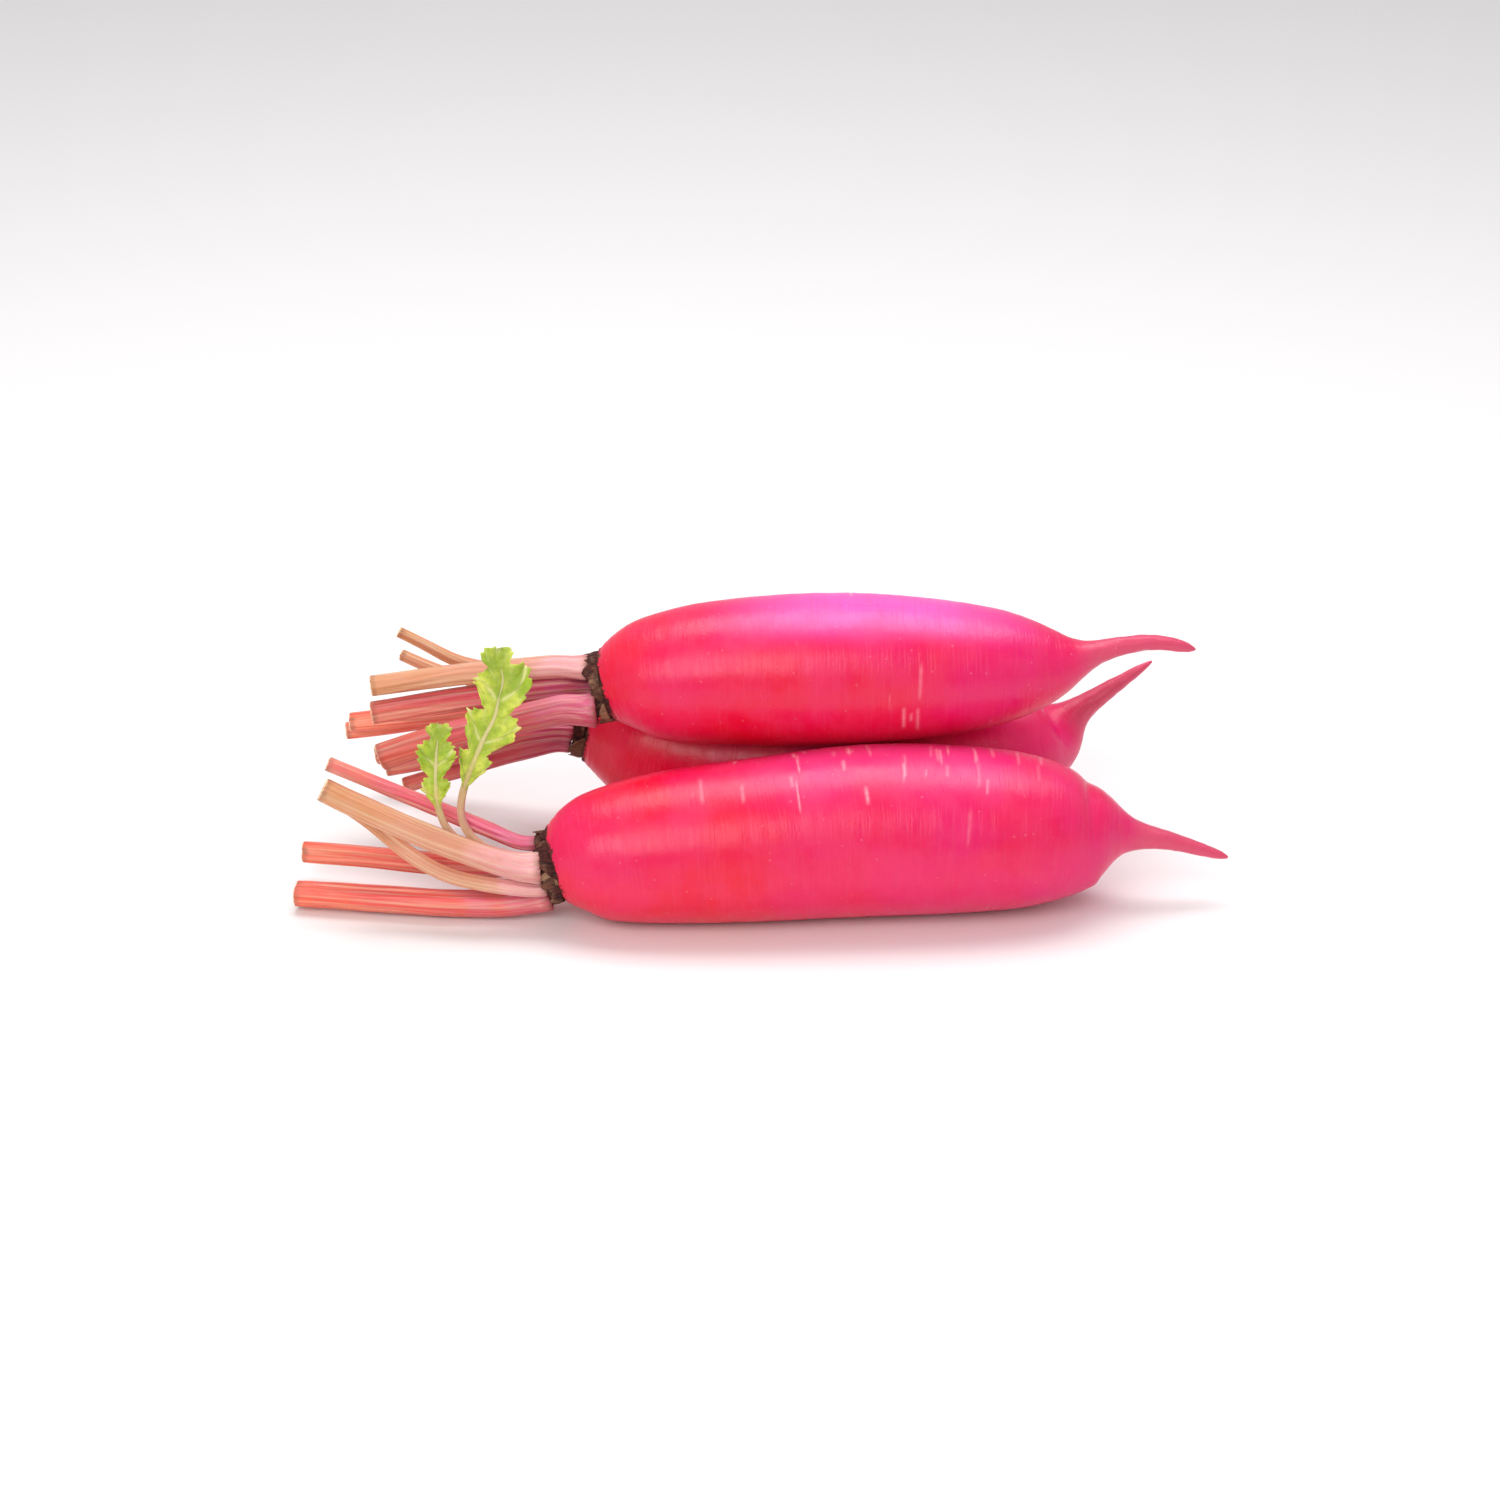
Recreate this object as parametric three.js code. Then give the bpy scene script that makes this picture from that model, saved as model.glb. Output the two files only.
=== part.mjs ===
// A bunch of three long radishes, lying in a small pile: two side by side on the surface and a third in the
// groove between them. Each is one root, from its crown to the tip of its thin tail, with its leaf stalks cut
// short. The front radish still has two small young leaves. Millimetres, +Z up. The roots lie along X, with
// their crowns and stalks towards -X and their tails towards +X, and +Y runs from the front root to the back.
import * as THREE from 'three';

// Driving sizes
const TOUCH_GAP = 0.35;        // between two pieces that touch
const ROOT_SIDES = 22;         // facets round a root, so that one of them faces straight down
const ROOT_RINGS = 36;
const STALK_SIDES = 12;
const STALK_STEPS = 14;
const STALK_GROOVE = 0.4;      // depth of a stalk's groove, as a share of half its thickness
const STALK_BASE = 0.86;       // width of a stalk where it joins the crown, as a share of its full width
const STALK_END = 0.88;        // and at the cut end
const STALK_SWELL = 14;        // distance from the crown to a stalk's full width
const STRAIGHT_START = 3;      // how far a stalk runs square to the crown's face before it bends
const CROWN_NECK = 3.6;        // height of the corky crown above the root's shoulder
const FOOT_DEPTH = 0.45;       // how far a root is pressed flat where it bears on the surface
const LEAF_STEPS = 34;
const LEAF_STRIPS = 6;
const BLADE_THICKNESS = 0.9;

const ROOT_PINK = { color: 0xe52a62, roughness: 0.34, metalness: 0 };
const STALK_CORAL = { color: 0xe5705f, roughness: 0.45, metalness: 0 };
const STALK_ROSE = { color: 0xcf5a68, roughness: 0.45, metalness: 0 };
const STALK_TAN = { color: 0xd9a67e, roughness: 0.5, metalness: 0 };
const LEAF_GREEN = { color: 0xaebf3a, roughness: 0.55, metalness: 0 };

// Each root: its body's length and greatest radius, its crown's radius and its tail's length. The outline
// holds [share of the body's length, share of the radius]. The axis holds [share of the body's length,
// sideways, upwards] from the crown's centre, and the tail's points run on past share 1 in shares of the tail.
const frontRoot = {
  name: 'root_front',
  length: 182,
  radius: 27.3,
  crown: 11.6,
  tail: 35,
  outline: [[0.026, 0.58], [0.065, 0.73], [0.17, 0.87], [0.34, 0.945], [0.55, 1], [0.72, 0.98], [0.84, 0.89],
    [0.92, 0.71], [0.97, 0.48], [1, 0.25]],
  tailOutline: [[0.18, 0.155], [0.5, 0.1], [0.85, 0.065], [0.97, 0.045]],
  axis: [[0, 0, 0], [0.06, 0.6, 2.6], [0.16, 1.8, 5.2], [0.35, 4, 7.6], [0.55, 7.5, 9.6], [0.75, 9.5, 9],
    [0.9, 10.5, 7.4], [1, 11, 6.6]],
  tailAxis: [[0.4, 11.5, 4.5], [1, 13, -2.6]],
};
const backRoot = {
  name: 'root_back',
  length: 156,
  radius: 26,
  crown: 10.8,
  tail: 31,
  outline: [[0.03, 0.56], [0.075, 0.73], [0.17, 0.87], [0.33, 0.95], [0.52, 1], [0.7, 0.965], [0.83, 0.84],
    [0.92, 0.64], [0.97, 0.42], [1, 0.24]],
  tailOutline: [[0.2, 0.155], [0.55, 0.1], [0.97, 0.035]],
  axis: [[0, 0, 0], [0.07, -1, -2.4], [0.17, -3, -5.8], [0.32, -6, -9.4], [0.5, -7.5, -11.2],
    [0.68, -7, -10.8], [0.83, -5, -8.4], [0.93, -2.6, -5], [1, -0.4, -1]],
  tailAxis: [[0.4, 0.6, 8], [1, 2, 21]],
};
const topRoot = {
  name: 'root_top',
  length: 153,
  radius: 24.4,
  crown: 11.2,
  tail: 38,
  outline: [[0.03, 0.6], [0.075, 0.76], [0.17, 0.905], [0.3, 0.975], [0.42, 1], [0.56, 0.985], [0.73, 0.88],
    [0.86, 0.71], [0.95, 0.46], [1, 0.25]],
  tailOutline: [[0.16, 0.155], [0.5, 0.11], [0.85, 0.085], [0.97, 0.055]],
  axis: [[0, 0, 0], [0.07, -0.5, 2.8], [0.2, -1, 5.4], [0.45, -1.5, 7.3], [0.7, -1, 7.6], [0.9, 0, 8.4],
    [1, 0.5, 10.6]],
  tailAxis: [[0.3, 1.5, 13.6], [0.65, 3, 15], [1, 5, 11.4]],
};

// How far each crown stands past the front root's crown, along X
const BACK_SETBACK = 8.5;
const TOP_SETBACK = 16;

// Leaf stalks. at is the angle of the base round the crown, from the back and over the top, and ring is the
// base's distance from the crown's centre. base is the width there as a share of the full width, where it
// isn't STALK_BASE. The route's points are [out from the crown, sideways, upwards].
const FRONT_RING = 7.6;
const BACK_RING = 7;
const TOP_RING = 7;
const frontStalks = [
  { name: 'front_stalk_top', at: 58, ring: FRONT_RING, width: 7, thick: 6, skin: STALK_ROSE,
    route: [[9, 5.4, 6], [16, 7.6, 8.6], [28, 10.4, 12.6], [41, 13, 17.4], [55.5, 15.4, 22.8],
      [69, 17, 28.2]] },
  { name: 'front_stalk_near', at: 151, ring: FRONT_RING + 1.2, width: 8.8, thick: 7.4, base: 1.14,
    skin: STALK_TAN,
    route: [[10.5, -8.2, 5.2], [18.5, -8.2, 7.8], [30, -7.2, 11.7], [42.5, -5.6, 16.6], [56, -4, 22.5],
      [69, -3, 29]] },
  { name: 'front_stalk_inner', at: 211, ring: FRONT_RING, width: 5.8, thick: 5.2, skin: STALK_TAN,
    route: [[10, -7.6, -3], [18.5, -7, -2], [29, -5, -0.4], [38, -2, 2.8], [46, 1.4, 7.4],
      [54.5, 4.4, 14], [63.5, 6.6, 20]] },
  { name: 'front_stalk_low', at: 270, ring: FRONT_RING + 1.8, width: 10.4, thick: 9.8, base: 1,
    skin: STALK_CORAL,
    route: [[8, 0, -11.4], [17, 0.3, -12.4], [33, 1, -12.4], [49, 3, -12.2], [65, 5, -12], [79.5, 7, -12]] },
  { name: 'front_stalk_far', at: 336, ring: FRONT_RING, width: 7.8, thick: 6.8, skin: STALK_CORAL,
    route: [[9, 7.5, -3], [18.5, 10.5, -4.5], [33, 15, -6], [49, 19.5, -6.5], [65, 24, -7],
      [78.5, 27, -7.5]] },
];
const backStalks = [
  { name: 'back_stalk_low', at: 250, ring: BACK_RING, width: 7.8, thick: 6.8, skin: STALK_ROSE,
    route: [[9.5, -3, -6.2], [19, -4.4, -8.2], [28.5, -5.5, -10.8], [38, -6.5, -13.6], [47.5, -7.5, -16],
      [56.5, -8, -18.5]] },
  { name: 'back_stalk_near', at: 178, ring: BACK_RING, width: 8, thick: 7, skin: STALK_ROSE,
    route: [[9.5, -8.4, 1.4], [19, -9.4, 0], [30, -10, -3.4], [41.5, -10.4, -6.4], [52.5, -10.8, -8.8],
      [62, -11.2, -10.6]] },
  { name: 'back_stalk_top', at: 106, ring: BACK_RING, width: 7.2, thick: 6.4, skin: STALK_CORAL,
    route: [[9.5, -1.4, 6.4], [19, -1, 6], [31.5, -1.6, 4.6], [46, -2.6, 2.6], [60, -3.6, 0.6],
      [75, -4.6, -1]] },
  { name: 'back_stalk_high', at: 36, ring: BACK_RING, width: 5, thick: 4.4, skin: STALK_TAN,
    route: [[9.5, 8, 4.4], [20.5, 9.6, 6.2], [31.5, 11.6, 8.6], [43, 13.6, 11.4], [51, 15.2, 14],
      [58, 17, 16.6]] },
  { name: 'back_stalk_far', at: 322, ring: BACK_RING, width: 7.4, thick: 6.2, skin: STALK_ROSE,
    route: [[9.5, 8.6, -5.4], [19, 11.4, -7.4], [31.5, 14.6, -10.6], [44.5, 18, -14.8], [57.5, 21, -19],
      [67.5, 23, -22.5]] },
];
const topStalks = [
  { name: 'top_stalk_upper', at: 98, ring: TOP_RING + 1, width: 9, thick: 7.6, base: 1, skin: STALK_TAN,
    route: [[8.5, -1, 8], [18, -2, 8], [30.5, -3, 7.5], [43.5, -4, 6.5], [58, -5, 5], [71.5, -6, 3.5]] },
  { name: 'top_stalk_near', at: 203, ring: TOP_RING + 1.8, width: 11.4, thick: 8.8, base: 1.1,
    skin: STALK_ROSE,
    route: [[8.5, -8.2, -3], [16.5, -9, -4.6], [27.5, -9.5, -7.2], [40.5, -10, -10.2],
      [54.5, -10.5, -14], [69, -11, -19]] },
  { name: 'top_stalk_middle', at: 0, ring: 1.6, width: 8.4, thick: 8.6, base: 0.72, skin: STALK_ROSE,
    route: [[8.5, -1, 1], [18, -2, 0.5], [30.5, -3.5, -0.5], [43.5, -5, -1.5], [58, -6, -3.5],
      [71.5, -7, -5.5]] },
  { name: 'top_stalk_high', at: 36, ring: TOP_RING + 0.4, width: 4.6, thick: 4.2, skin: STALK_TAN,
    route: [[8.5, 7, 1], [21, 8, 1.5], [34, 9, 3], [45, 10, 5], [54.5, 11, 10], [63.5, 12, 14.5]] },
  { name: 'top_stalk_far', at: 320, ring: TOP_RING + 0.7, width: 7.6, thick: 6.4, skin: STALK_CORAL,
    route: [[8.5, 7.5, -5.5], [18, 9, -8], [34, 12, -12], [50, 15, -15.5], [66, 18, -18.5],
      [80.5, 20, -21]] },
];

// Young leaves, from the middle of the front crown. petiole is the stalk's width and thickness, bladeFrom the
// share of the leaf's length where its green blade starts, halfBlade the blade's greatest half width, lobes
// its pairs of side lobes, and faces the way that its upper face looks.
const youngLeaves = [
  { name: 'young_leaf_small', base: [-2.2, 1], petiole: [3.4, 2.8], bladeFrom: 0.6, halfBlade: 5.6, lobes: 2,
    faces: [0.15, -1, 0.2],
    route: [[13, -1.4, 4], [25, -1, 8.6], [31, -0.4, 15], [33.5, 0.6, 24], [33.5, 1.6, 35], [32, 2.6, 49]] },
  { name: 'young_leaf_large', base: [1.6, 0.2], petiole: [3.4, 2.9], bladeFrom: 0.46, halfBlade: 8.4,
    lobes: 3, faces: [-0.1, -1, 0.25],
    route: [[12, 2, 2.8], [21, 3, 7.2], [26, 4, 14.6], [25.5, 5, 24], [20.5, 5.4, 38], [13.5, 5.6, 55],
      [13.5, 7, 73]] },
];

const vec = (x, y, z) => new THREE.Vector3(x, y, z);
const UP = vec(0, 0, 1);

// A named mesh with its own material
function piece(name, geometry, look) {
  const mesh = new THREE.Mesh(geometry, new THREE.MeshStandardMaterial(look));
  mesh.name = name;
  return mesh;
}

// Moves every vertex of a geometry through place(x, y, z)
function reshape(geometry, place) {
  const position = geometry.attributes.position;
  for (let i = 0; i < position.count; i++) {
    const moved = place(position.getX(i), position.getY(i), position.getZ(i));
    position.setXYZ(i, moved.x, moved.y, moved.z);
  }
  geometry.computeVertexNormals();
  return geometry;
}

// The root's centre line, from the crown's centre to the tip of the tail
function rootAxis(root) {
  const body = root.axis.map(([share, side, rise]) => vec(share * root.length, side, rise));
  const tail = root.tailAxis.map(([share, side, rise]) => vec(root.length + share * root.tail, side, rise));
  return new THREE.CatmullRomCurve3([...body, ...tail]);
}

// The root's outline as [distance from the crown, radius], smooth through its points
function rootOutline(root) {
  const body = root.outline.map(([share, r]) => {
    return vec(share * root.length + CROWN_NECK * (1 - share), r * root.radius, 0);
  });
  const tail = root.tailOutline.map(([share, r]) => vec(root.length + share * root.tail, r * root.radius, 0));
  return new THREE.CatmullRomCurve3([...body, ...tail]).getPoints(ROOT_RINGS).map((p) => [p.x, p.y]);
}

// Rings along the root: centre, radius, and the distance along the axis
function rootRings(root) {
  const axis = rootAxis(root);
  const whole = root.length + root.tail;
  return rootOutline(root).map(([s, r]) => ({ centre: axis.getPointAt(s / whole), radius: r }));
}

// A turned solid on the root's outline, bent along its axis
function rootGeometry(root) {
  const axis = rootAxis(root);
  const whole = root.length + root.tail;
  const crown = root.crown;
  const neck = [[0, 0], [0, 0.84 * crown], [0.28 * CROWN_NECK, crown], [0.72 * CROWN_NECK, 0.97 * crown]];
  const profile = [...neck, ...rootOutline(root), [whole, 0]];
  const turned = new THREE.LatheGeometry(profile.map(([s, r]) => new THREE.Vector2(r, s)), ROOT_SIDES);
  return reshape(turned, (x, y, z) => {
    const share = Math.min(1, Math.max(0, y / whole));
    const along = axis.getTangentAt(share);
    const side = UP.clone().cross(along).normalize();
    const up = along.clone().cross(side);
    return axis.getPointAt(share).addScaledVector(side, z).addScaledVector(up, x);
  });
}

// Rests a root on the surface, with a small flat foot where it bears
function settle(root, geometry) {
  geometry.computeBoundingBox();
  const drop = geometry.boundingBox.min.z + FOOT_DEPTH;
  geometry.translate(0, 0, -drop);
  reshape(geometry, (x, y, z) => vec(x, y, Math.max(z, 0)));
  return -drop;
}

// The least move along one axis that takes the moving rings clear of the fixed ones
function clearanceMove(moving, fixed, direction) {
  const others = ['x', 'y', 'z'].filter((k) => k !== direction);
  let move = -Infinity;
  for (const a of moving) {
    for (const b of fixed) {
      const reach = a.radius + b.radius + TOUCH_GAP;
      const across = others.reduce((sum, k) => sum + (a.centre[k] - b.centre[k]) ** 2, 0);
      if (across >= reach * reach) continue;
      move = Math.max(move, b.centre[direction] + Math.sqrt(reach * reach - across) - a.centre[direction]);
    }
  }
  return move;
}

// The same rings, moved
function shifted(rings, by) {
  return rings.map(({ centre, radius }) => ({ centre: centre.clone().add(by), radius }));
}

// The point on a stalk's cross-section at angle phi: rounded below and grooved along the top
function stalkSection(phi, width, thick) {
  const up = Math.sin(phi);
  return [0.5 * width * Math.cos(phi), 0.5 * thick * (up - STALK_GROOVE * Math.max(0, up) ** 6)];
}

// The crown's own directions at the root's end: out of the crown, and the sideways and upward ones across it
function crownFrame(root) {
  const along = rootAxis(root).getTangentAt(0);
  const side = UP.clone().cross(along).normalize();
  return { out: along.clone().negate(), side, up: along.clone().cross(side) };
}

// A route that leaves the crown's face squarely at [y, z] on it, and goes on through the points given
function routeFrom(frame, [y, z], points) {
  const on = frame.side.clone().multiplyScalar(y).addScaledVector(frame.up, z);
  const base = on.clone().addScaledVector(frame.out, TOUCH_GAP);
  const straight = on.clone().addScaledVector(frame.out, STRAIGHT_START);
  const onward = points.map(([out, side, rise]) => vec(-out, side, rise));
  return new THREE.CatmullRomCurve3([base, straight, ...onward]);
}

// A grooved stalk swept along its route, with the groove facing the crown's middle
function stalkGeometry(stalk, frame) {
  const angle = THREE.MathUtils.degToRad(stalk.at);
  const [y, z] = [Math.cos(angle), Math.sin(angle)];
  const route = routeFrom(frame, [stalk.ring * y, stalk.ring * z], stalk.route);
  const inward = frame.side.clone().multiplyScalar(-y).addScaledVector(frame.up, -z);
  const length = route.getLength();
  const base = stalk.base ?? STALK_BASE;
  const bar = new THREE.CylinderGeometry(1, 1, 1, STALK_SIDES, STALK_STEPS);
  return reshape(bar, (x, y, z) => {
    const share = Math.min(1, Math.max(0, y + 0.5));
    const swell = THREE.MathUtils.smoothstep(share * length, 0, STALK_SWELL);
    const size = (base + (1 - base) * swell) * (1 + (STALK_END - 1) * share);
    const along = share < 1e-6 ? frame.out : route.getTangentAt(share);
    const side = inward.clone().cross(along).normalize();
    const groove = along.clone().cross(side);
    const middle = Math.hypot(x, z) < 1e-6;
    const [width, thick] = [stalk.width * size, stalk.thick * size];
    const [across, deep] = middle ? [0, 0] : stalkSection(Math.atan2(x, z), width, thick);
    return route.getPointAt(share).addScaledVector(side, across).addScaledVector(groove, deep);
  });
}

// Half the leaf's width at a share of its length: the petiole, then a blade with side lobes and a broad tip
function leafHalfWidth(leaf, share) {
  const stem = leaf.petiole[0] / 2;
  if (share <= leaf.bladeFrom) return stem;
  const t = (share - leaf.bladeFrom) / (1 - leaf.bladeFrom);
  const envelope = Math.sin(Math.PI * (0.06 + 0.86 * t) ** 1.1) ** 0.55;
  const notch = 0.66 + 0.34 * Math.abs(Math.sin(Math.PI * (leaf.lobes + 0.5) * t));
  const tip = Math.sqrt(Math.min(1, 0.05 + 5 * (1 - t)));
  return stem * (1 - t) + leaf.halfBlade * envelope * notch * tip * Math.min(1, 3 * t);
}

// A young leaf in one piece, a strip with a thick midrib and a thin blade, bent along its route
function leafGeometry(leaf, frame) {
  const route = routeFrom(frame, leaf.base, leaf.route);
  const faces = vec(...leaf.faces).normalize();
  const strip = new THREE.BoxGeometry(1, 1, 1, LEAF_STEPS, LEAF_STRIPS, 1);
  return reshape(strip, (x, y, z) => {
    const share = Math.min(1, Math.max(0, x + 0.5));
    const across = 2 * y * leafHalfWidth(leaf, share);
    const rib = leaf.petiole[1] * (1 - 0.72 * share);
    const fade = Math.exp(-((across / (0.55 * leaf.petiole[0])) ** 2));
    const rounded = share <= leaf.bladeFrom ? rib * Math.sqrt(1.02 - 3.2 * y * y) : 0;
    const deep = 2 * z * 0.5 * Math.max(rounded, BLADE_THICKNESS + (rib - BLADE_THICKNESS) * fade);
    const cup = share > leaf.bladeFrom ? 0.03 * across * across : 0;
    const along = share < 1e-6 ? frame.out : route.getTangentAt(share);
    const side = faces.clone().cross(along).normalize();
    const face = along.clone().cross(side);
    return route.getPointAt(share).addScaledVector(side, across).addScaledVector(face, deep + cup);
  });
}

// One radish: its root with its stalks and leaves, each measured from the crown's centre
function plant(root, geometry, stalks, leaves, crown) {
  const frame = crownFrame(root);
  const group = new THREE.Group();
  group.add(piece(root.name, geometry, ROOT_PINK));
  const top = new THREE.Group();
  top.position.copy(crown);
  for (const stalk of stalks) top.add(piece(stalk.name, stalkGeometry(stalk, frame), stalk.skin));
  for (const leaf of leaves) top.add(piece(leaf.name, leafGeometry(leaf, frame), LEAF_GREEN));
  group.add(top);
  return group;
}

// The front root rests on the surface
const frontGeometry = rootGeometry(frontRoot);
const frontCrown = vec(0, 0, settle(frontRoot, frontGeometry));
const frontRings = shifted(rootRings(frontRoot), frontCrown);

// The back root rests on the surface too, pushed up against the front one
const backGeometry = rootGeometry(backRoot);
const backCrown = vec(BACK_SETBACK, 0, settle(backRoot, backGeometry));
backCrown.y = clearanceMove(shifted(rootRings(backRoot), backCrown), frontRings, 'y');
backGeometry.translate(backCrown.x, backCrown.y, 0);
const backRings = shifted(rootRings(backRoot), backCrown);

// The top root lies in the groove between them, at the place along Y where it comes down lowest
const topCrown = vec(TOP_SETBACK, 0, Infinity);
for (let y = 0.3 * backCrown.y; y <= 0.8 * backCrown.y; y += 0.25) {
  const rings = shifted(rootRings(topRoot), vec(TOP_SETBACK, y, 0));
  const z = clearanceMove(rings, [...frontRings, ...backRings], 'z');
  if (z < topCrown.z) topCrown.set(TOP_SETBACK, y, z);
}
const topGeometry = rootGeometry(topRoot).translate(topCrown.x, topCrown.y, topCrown.z);

const bunch = new THREE.Group();
bunch.add(
  plant(frontRoot, frontGeometry, frontStalks, youngLeaves, frontCrown),
  plant(backRoot, backGeometry, backStalks, [], backCrown),
  plant(topRoot, topGeometry, topStalks, [], topCrown),
);

// The origin is the middle of the bunch's underside
const box = new THREE.Box3().setFromObject(bunch, true);
const middle = box.getCenter(new THREE.Vector3());
bunch.position.set(-middle.x, -middle.y, -box.min.z);

export default bunch;
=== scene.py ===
"""A bunch of three long radishes lying in a small pile: their looks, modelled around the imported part.

Each CAD solid is measured by cutting it across its own centre line. The finer piece that replaces it is a
loop extruded through those cuts, subdivided, and then given the small relief of the real vegetable.
"""

import logging
import math
import random
from dataclasses import dataclass, field
from enum import Enum
from typing import Callable, Sequence

import bmesh
import bpy
import numpy as np
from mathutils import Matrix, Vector, noise


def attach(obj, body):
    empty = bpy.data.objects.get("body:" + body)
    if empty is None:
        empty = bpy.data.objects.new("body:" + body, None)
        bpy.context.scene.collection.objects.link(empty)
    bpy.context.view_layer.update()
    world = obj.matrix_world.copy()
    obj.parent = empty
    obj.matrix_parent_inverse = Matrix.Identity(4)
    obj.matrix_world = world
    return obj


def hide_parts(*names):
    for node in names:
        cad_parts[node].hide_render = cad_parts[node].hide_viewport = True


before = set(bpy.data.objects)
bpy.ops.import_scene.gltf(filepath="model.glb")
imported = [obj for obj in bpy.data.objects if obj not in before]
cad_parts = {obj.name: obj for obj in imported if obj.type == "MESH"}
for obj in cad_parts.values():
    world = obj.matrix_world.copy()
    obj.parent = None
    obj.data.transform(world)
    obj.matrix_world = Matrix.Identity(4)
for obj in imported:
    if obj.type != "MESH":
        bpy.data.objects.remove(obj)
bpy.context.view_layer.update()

LOG = logging.getLogger("radishes")
MM = 0.001
ANGLES = 60  # rays that measure a cut
SMALLEST_STRIDE = 0.02  # of a walk's step, where it stops
LEAST_SHRINK = 0.45  # of the last cut's mean radius
LEAST_EVENNESS = 0.88  # of the first cut's
MOST_DRIFT = 0.8  # of the stride
MOST_LEAF_CUTS = 160
BUMP_DEPTH = 0.4 * MM
BLOTCHES = "Blotches"
STREAKS = "Streaks"
# The crown's rings: depth in millimetres, and radius as a share of the crown's
CROWN_FACE = ((0.9, 0.24), (0.75, 0.5), (0.45, 0.76), (0.12, 0.9), (0.25, 0.985), (0.9, 1.02), (1.7, 1.0),
              (2.5, 0.97), (3.2, 0.985), (3.9, 1.04))

Array = np.ndarray
Piece = bpy.types.Object
Socket = bpy.types.NodeSocket
Colour = tuple[float, float, float]
Frame = tuple[Array, Array, Array, Array]


def tint(red: int, green: int, blue: int) -> Colour:
    """Linear colour of a screen colour.

    Args:
        red, green, blue: the screen colour, each from 0 to 255.

    Returns:
        The same colour as a shader takes it.
    """
    parts = [c / 255 for c in (red, green, blue)]
    return tuple(c / 12.92 if c <= 0.04045 else ((c + 0.055) / 1.055) ** 2.4 for c in parts)


def unit(vector: Array) -> Array:
    """The vector at length one."""
    return vector / max(float(np.linalg.norm(vector)), 1e-12)


def angles_round(count: int) -> Array:
    """Angles spaced evenly all round."""
    return np.arange(count) * 2 * math.pi / count


def smooth_step(low: float, high: float, value: Array) -> Array:
    """Rises smoothly from 0 at low to 1 at high."""
    t = np.clip((value - low) / (high - low), 0, 1)
    return t * t * (3 - 2 * t)


# ---------------------------------------------------------------- measuring the CAD solids


@dataclass
class Cut:
    """One cut across a solid: its middle, its own directions and its outline's radius at each angle."""

    middle: Array
    along: Array
    right: Array
    radii: Array

    def evenness(self) -> float:
        """The least radius as a share of the mean one, which drops where the plane runs off an end."""
        return float(self.radii.min() / self.radii.mean())


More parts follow.
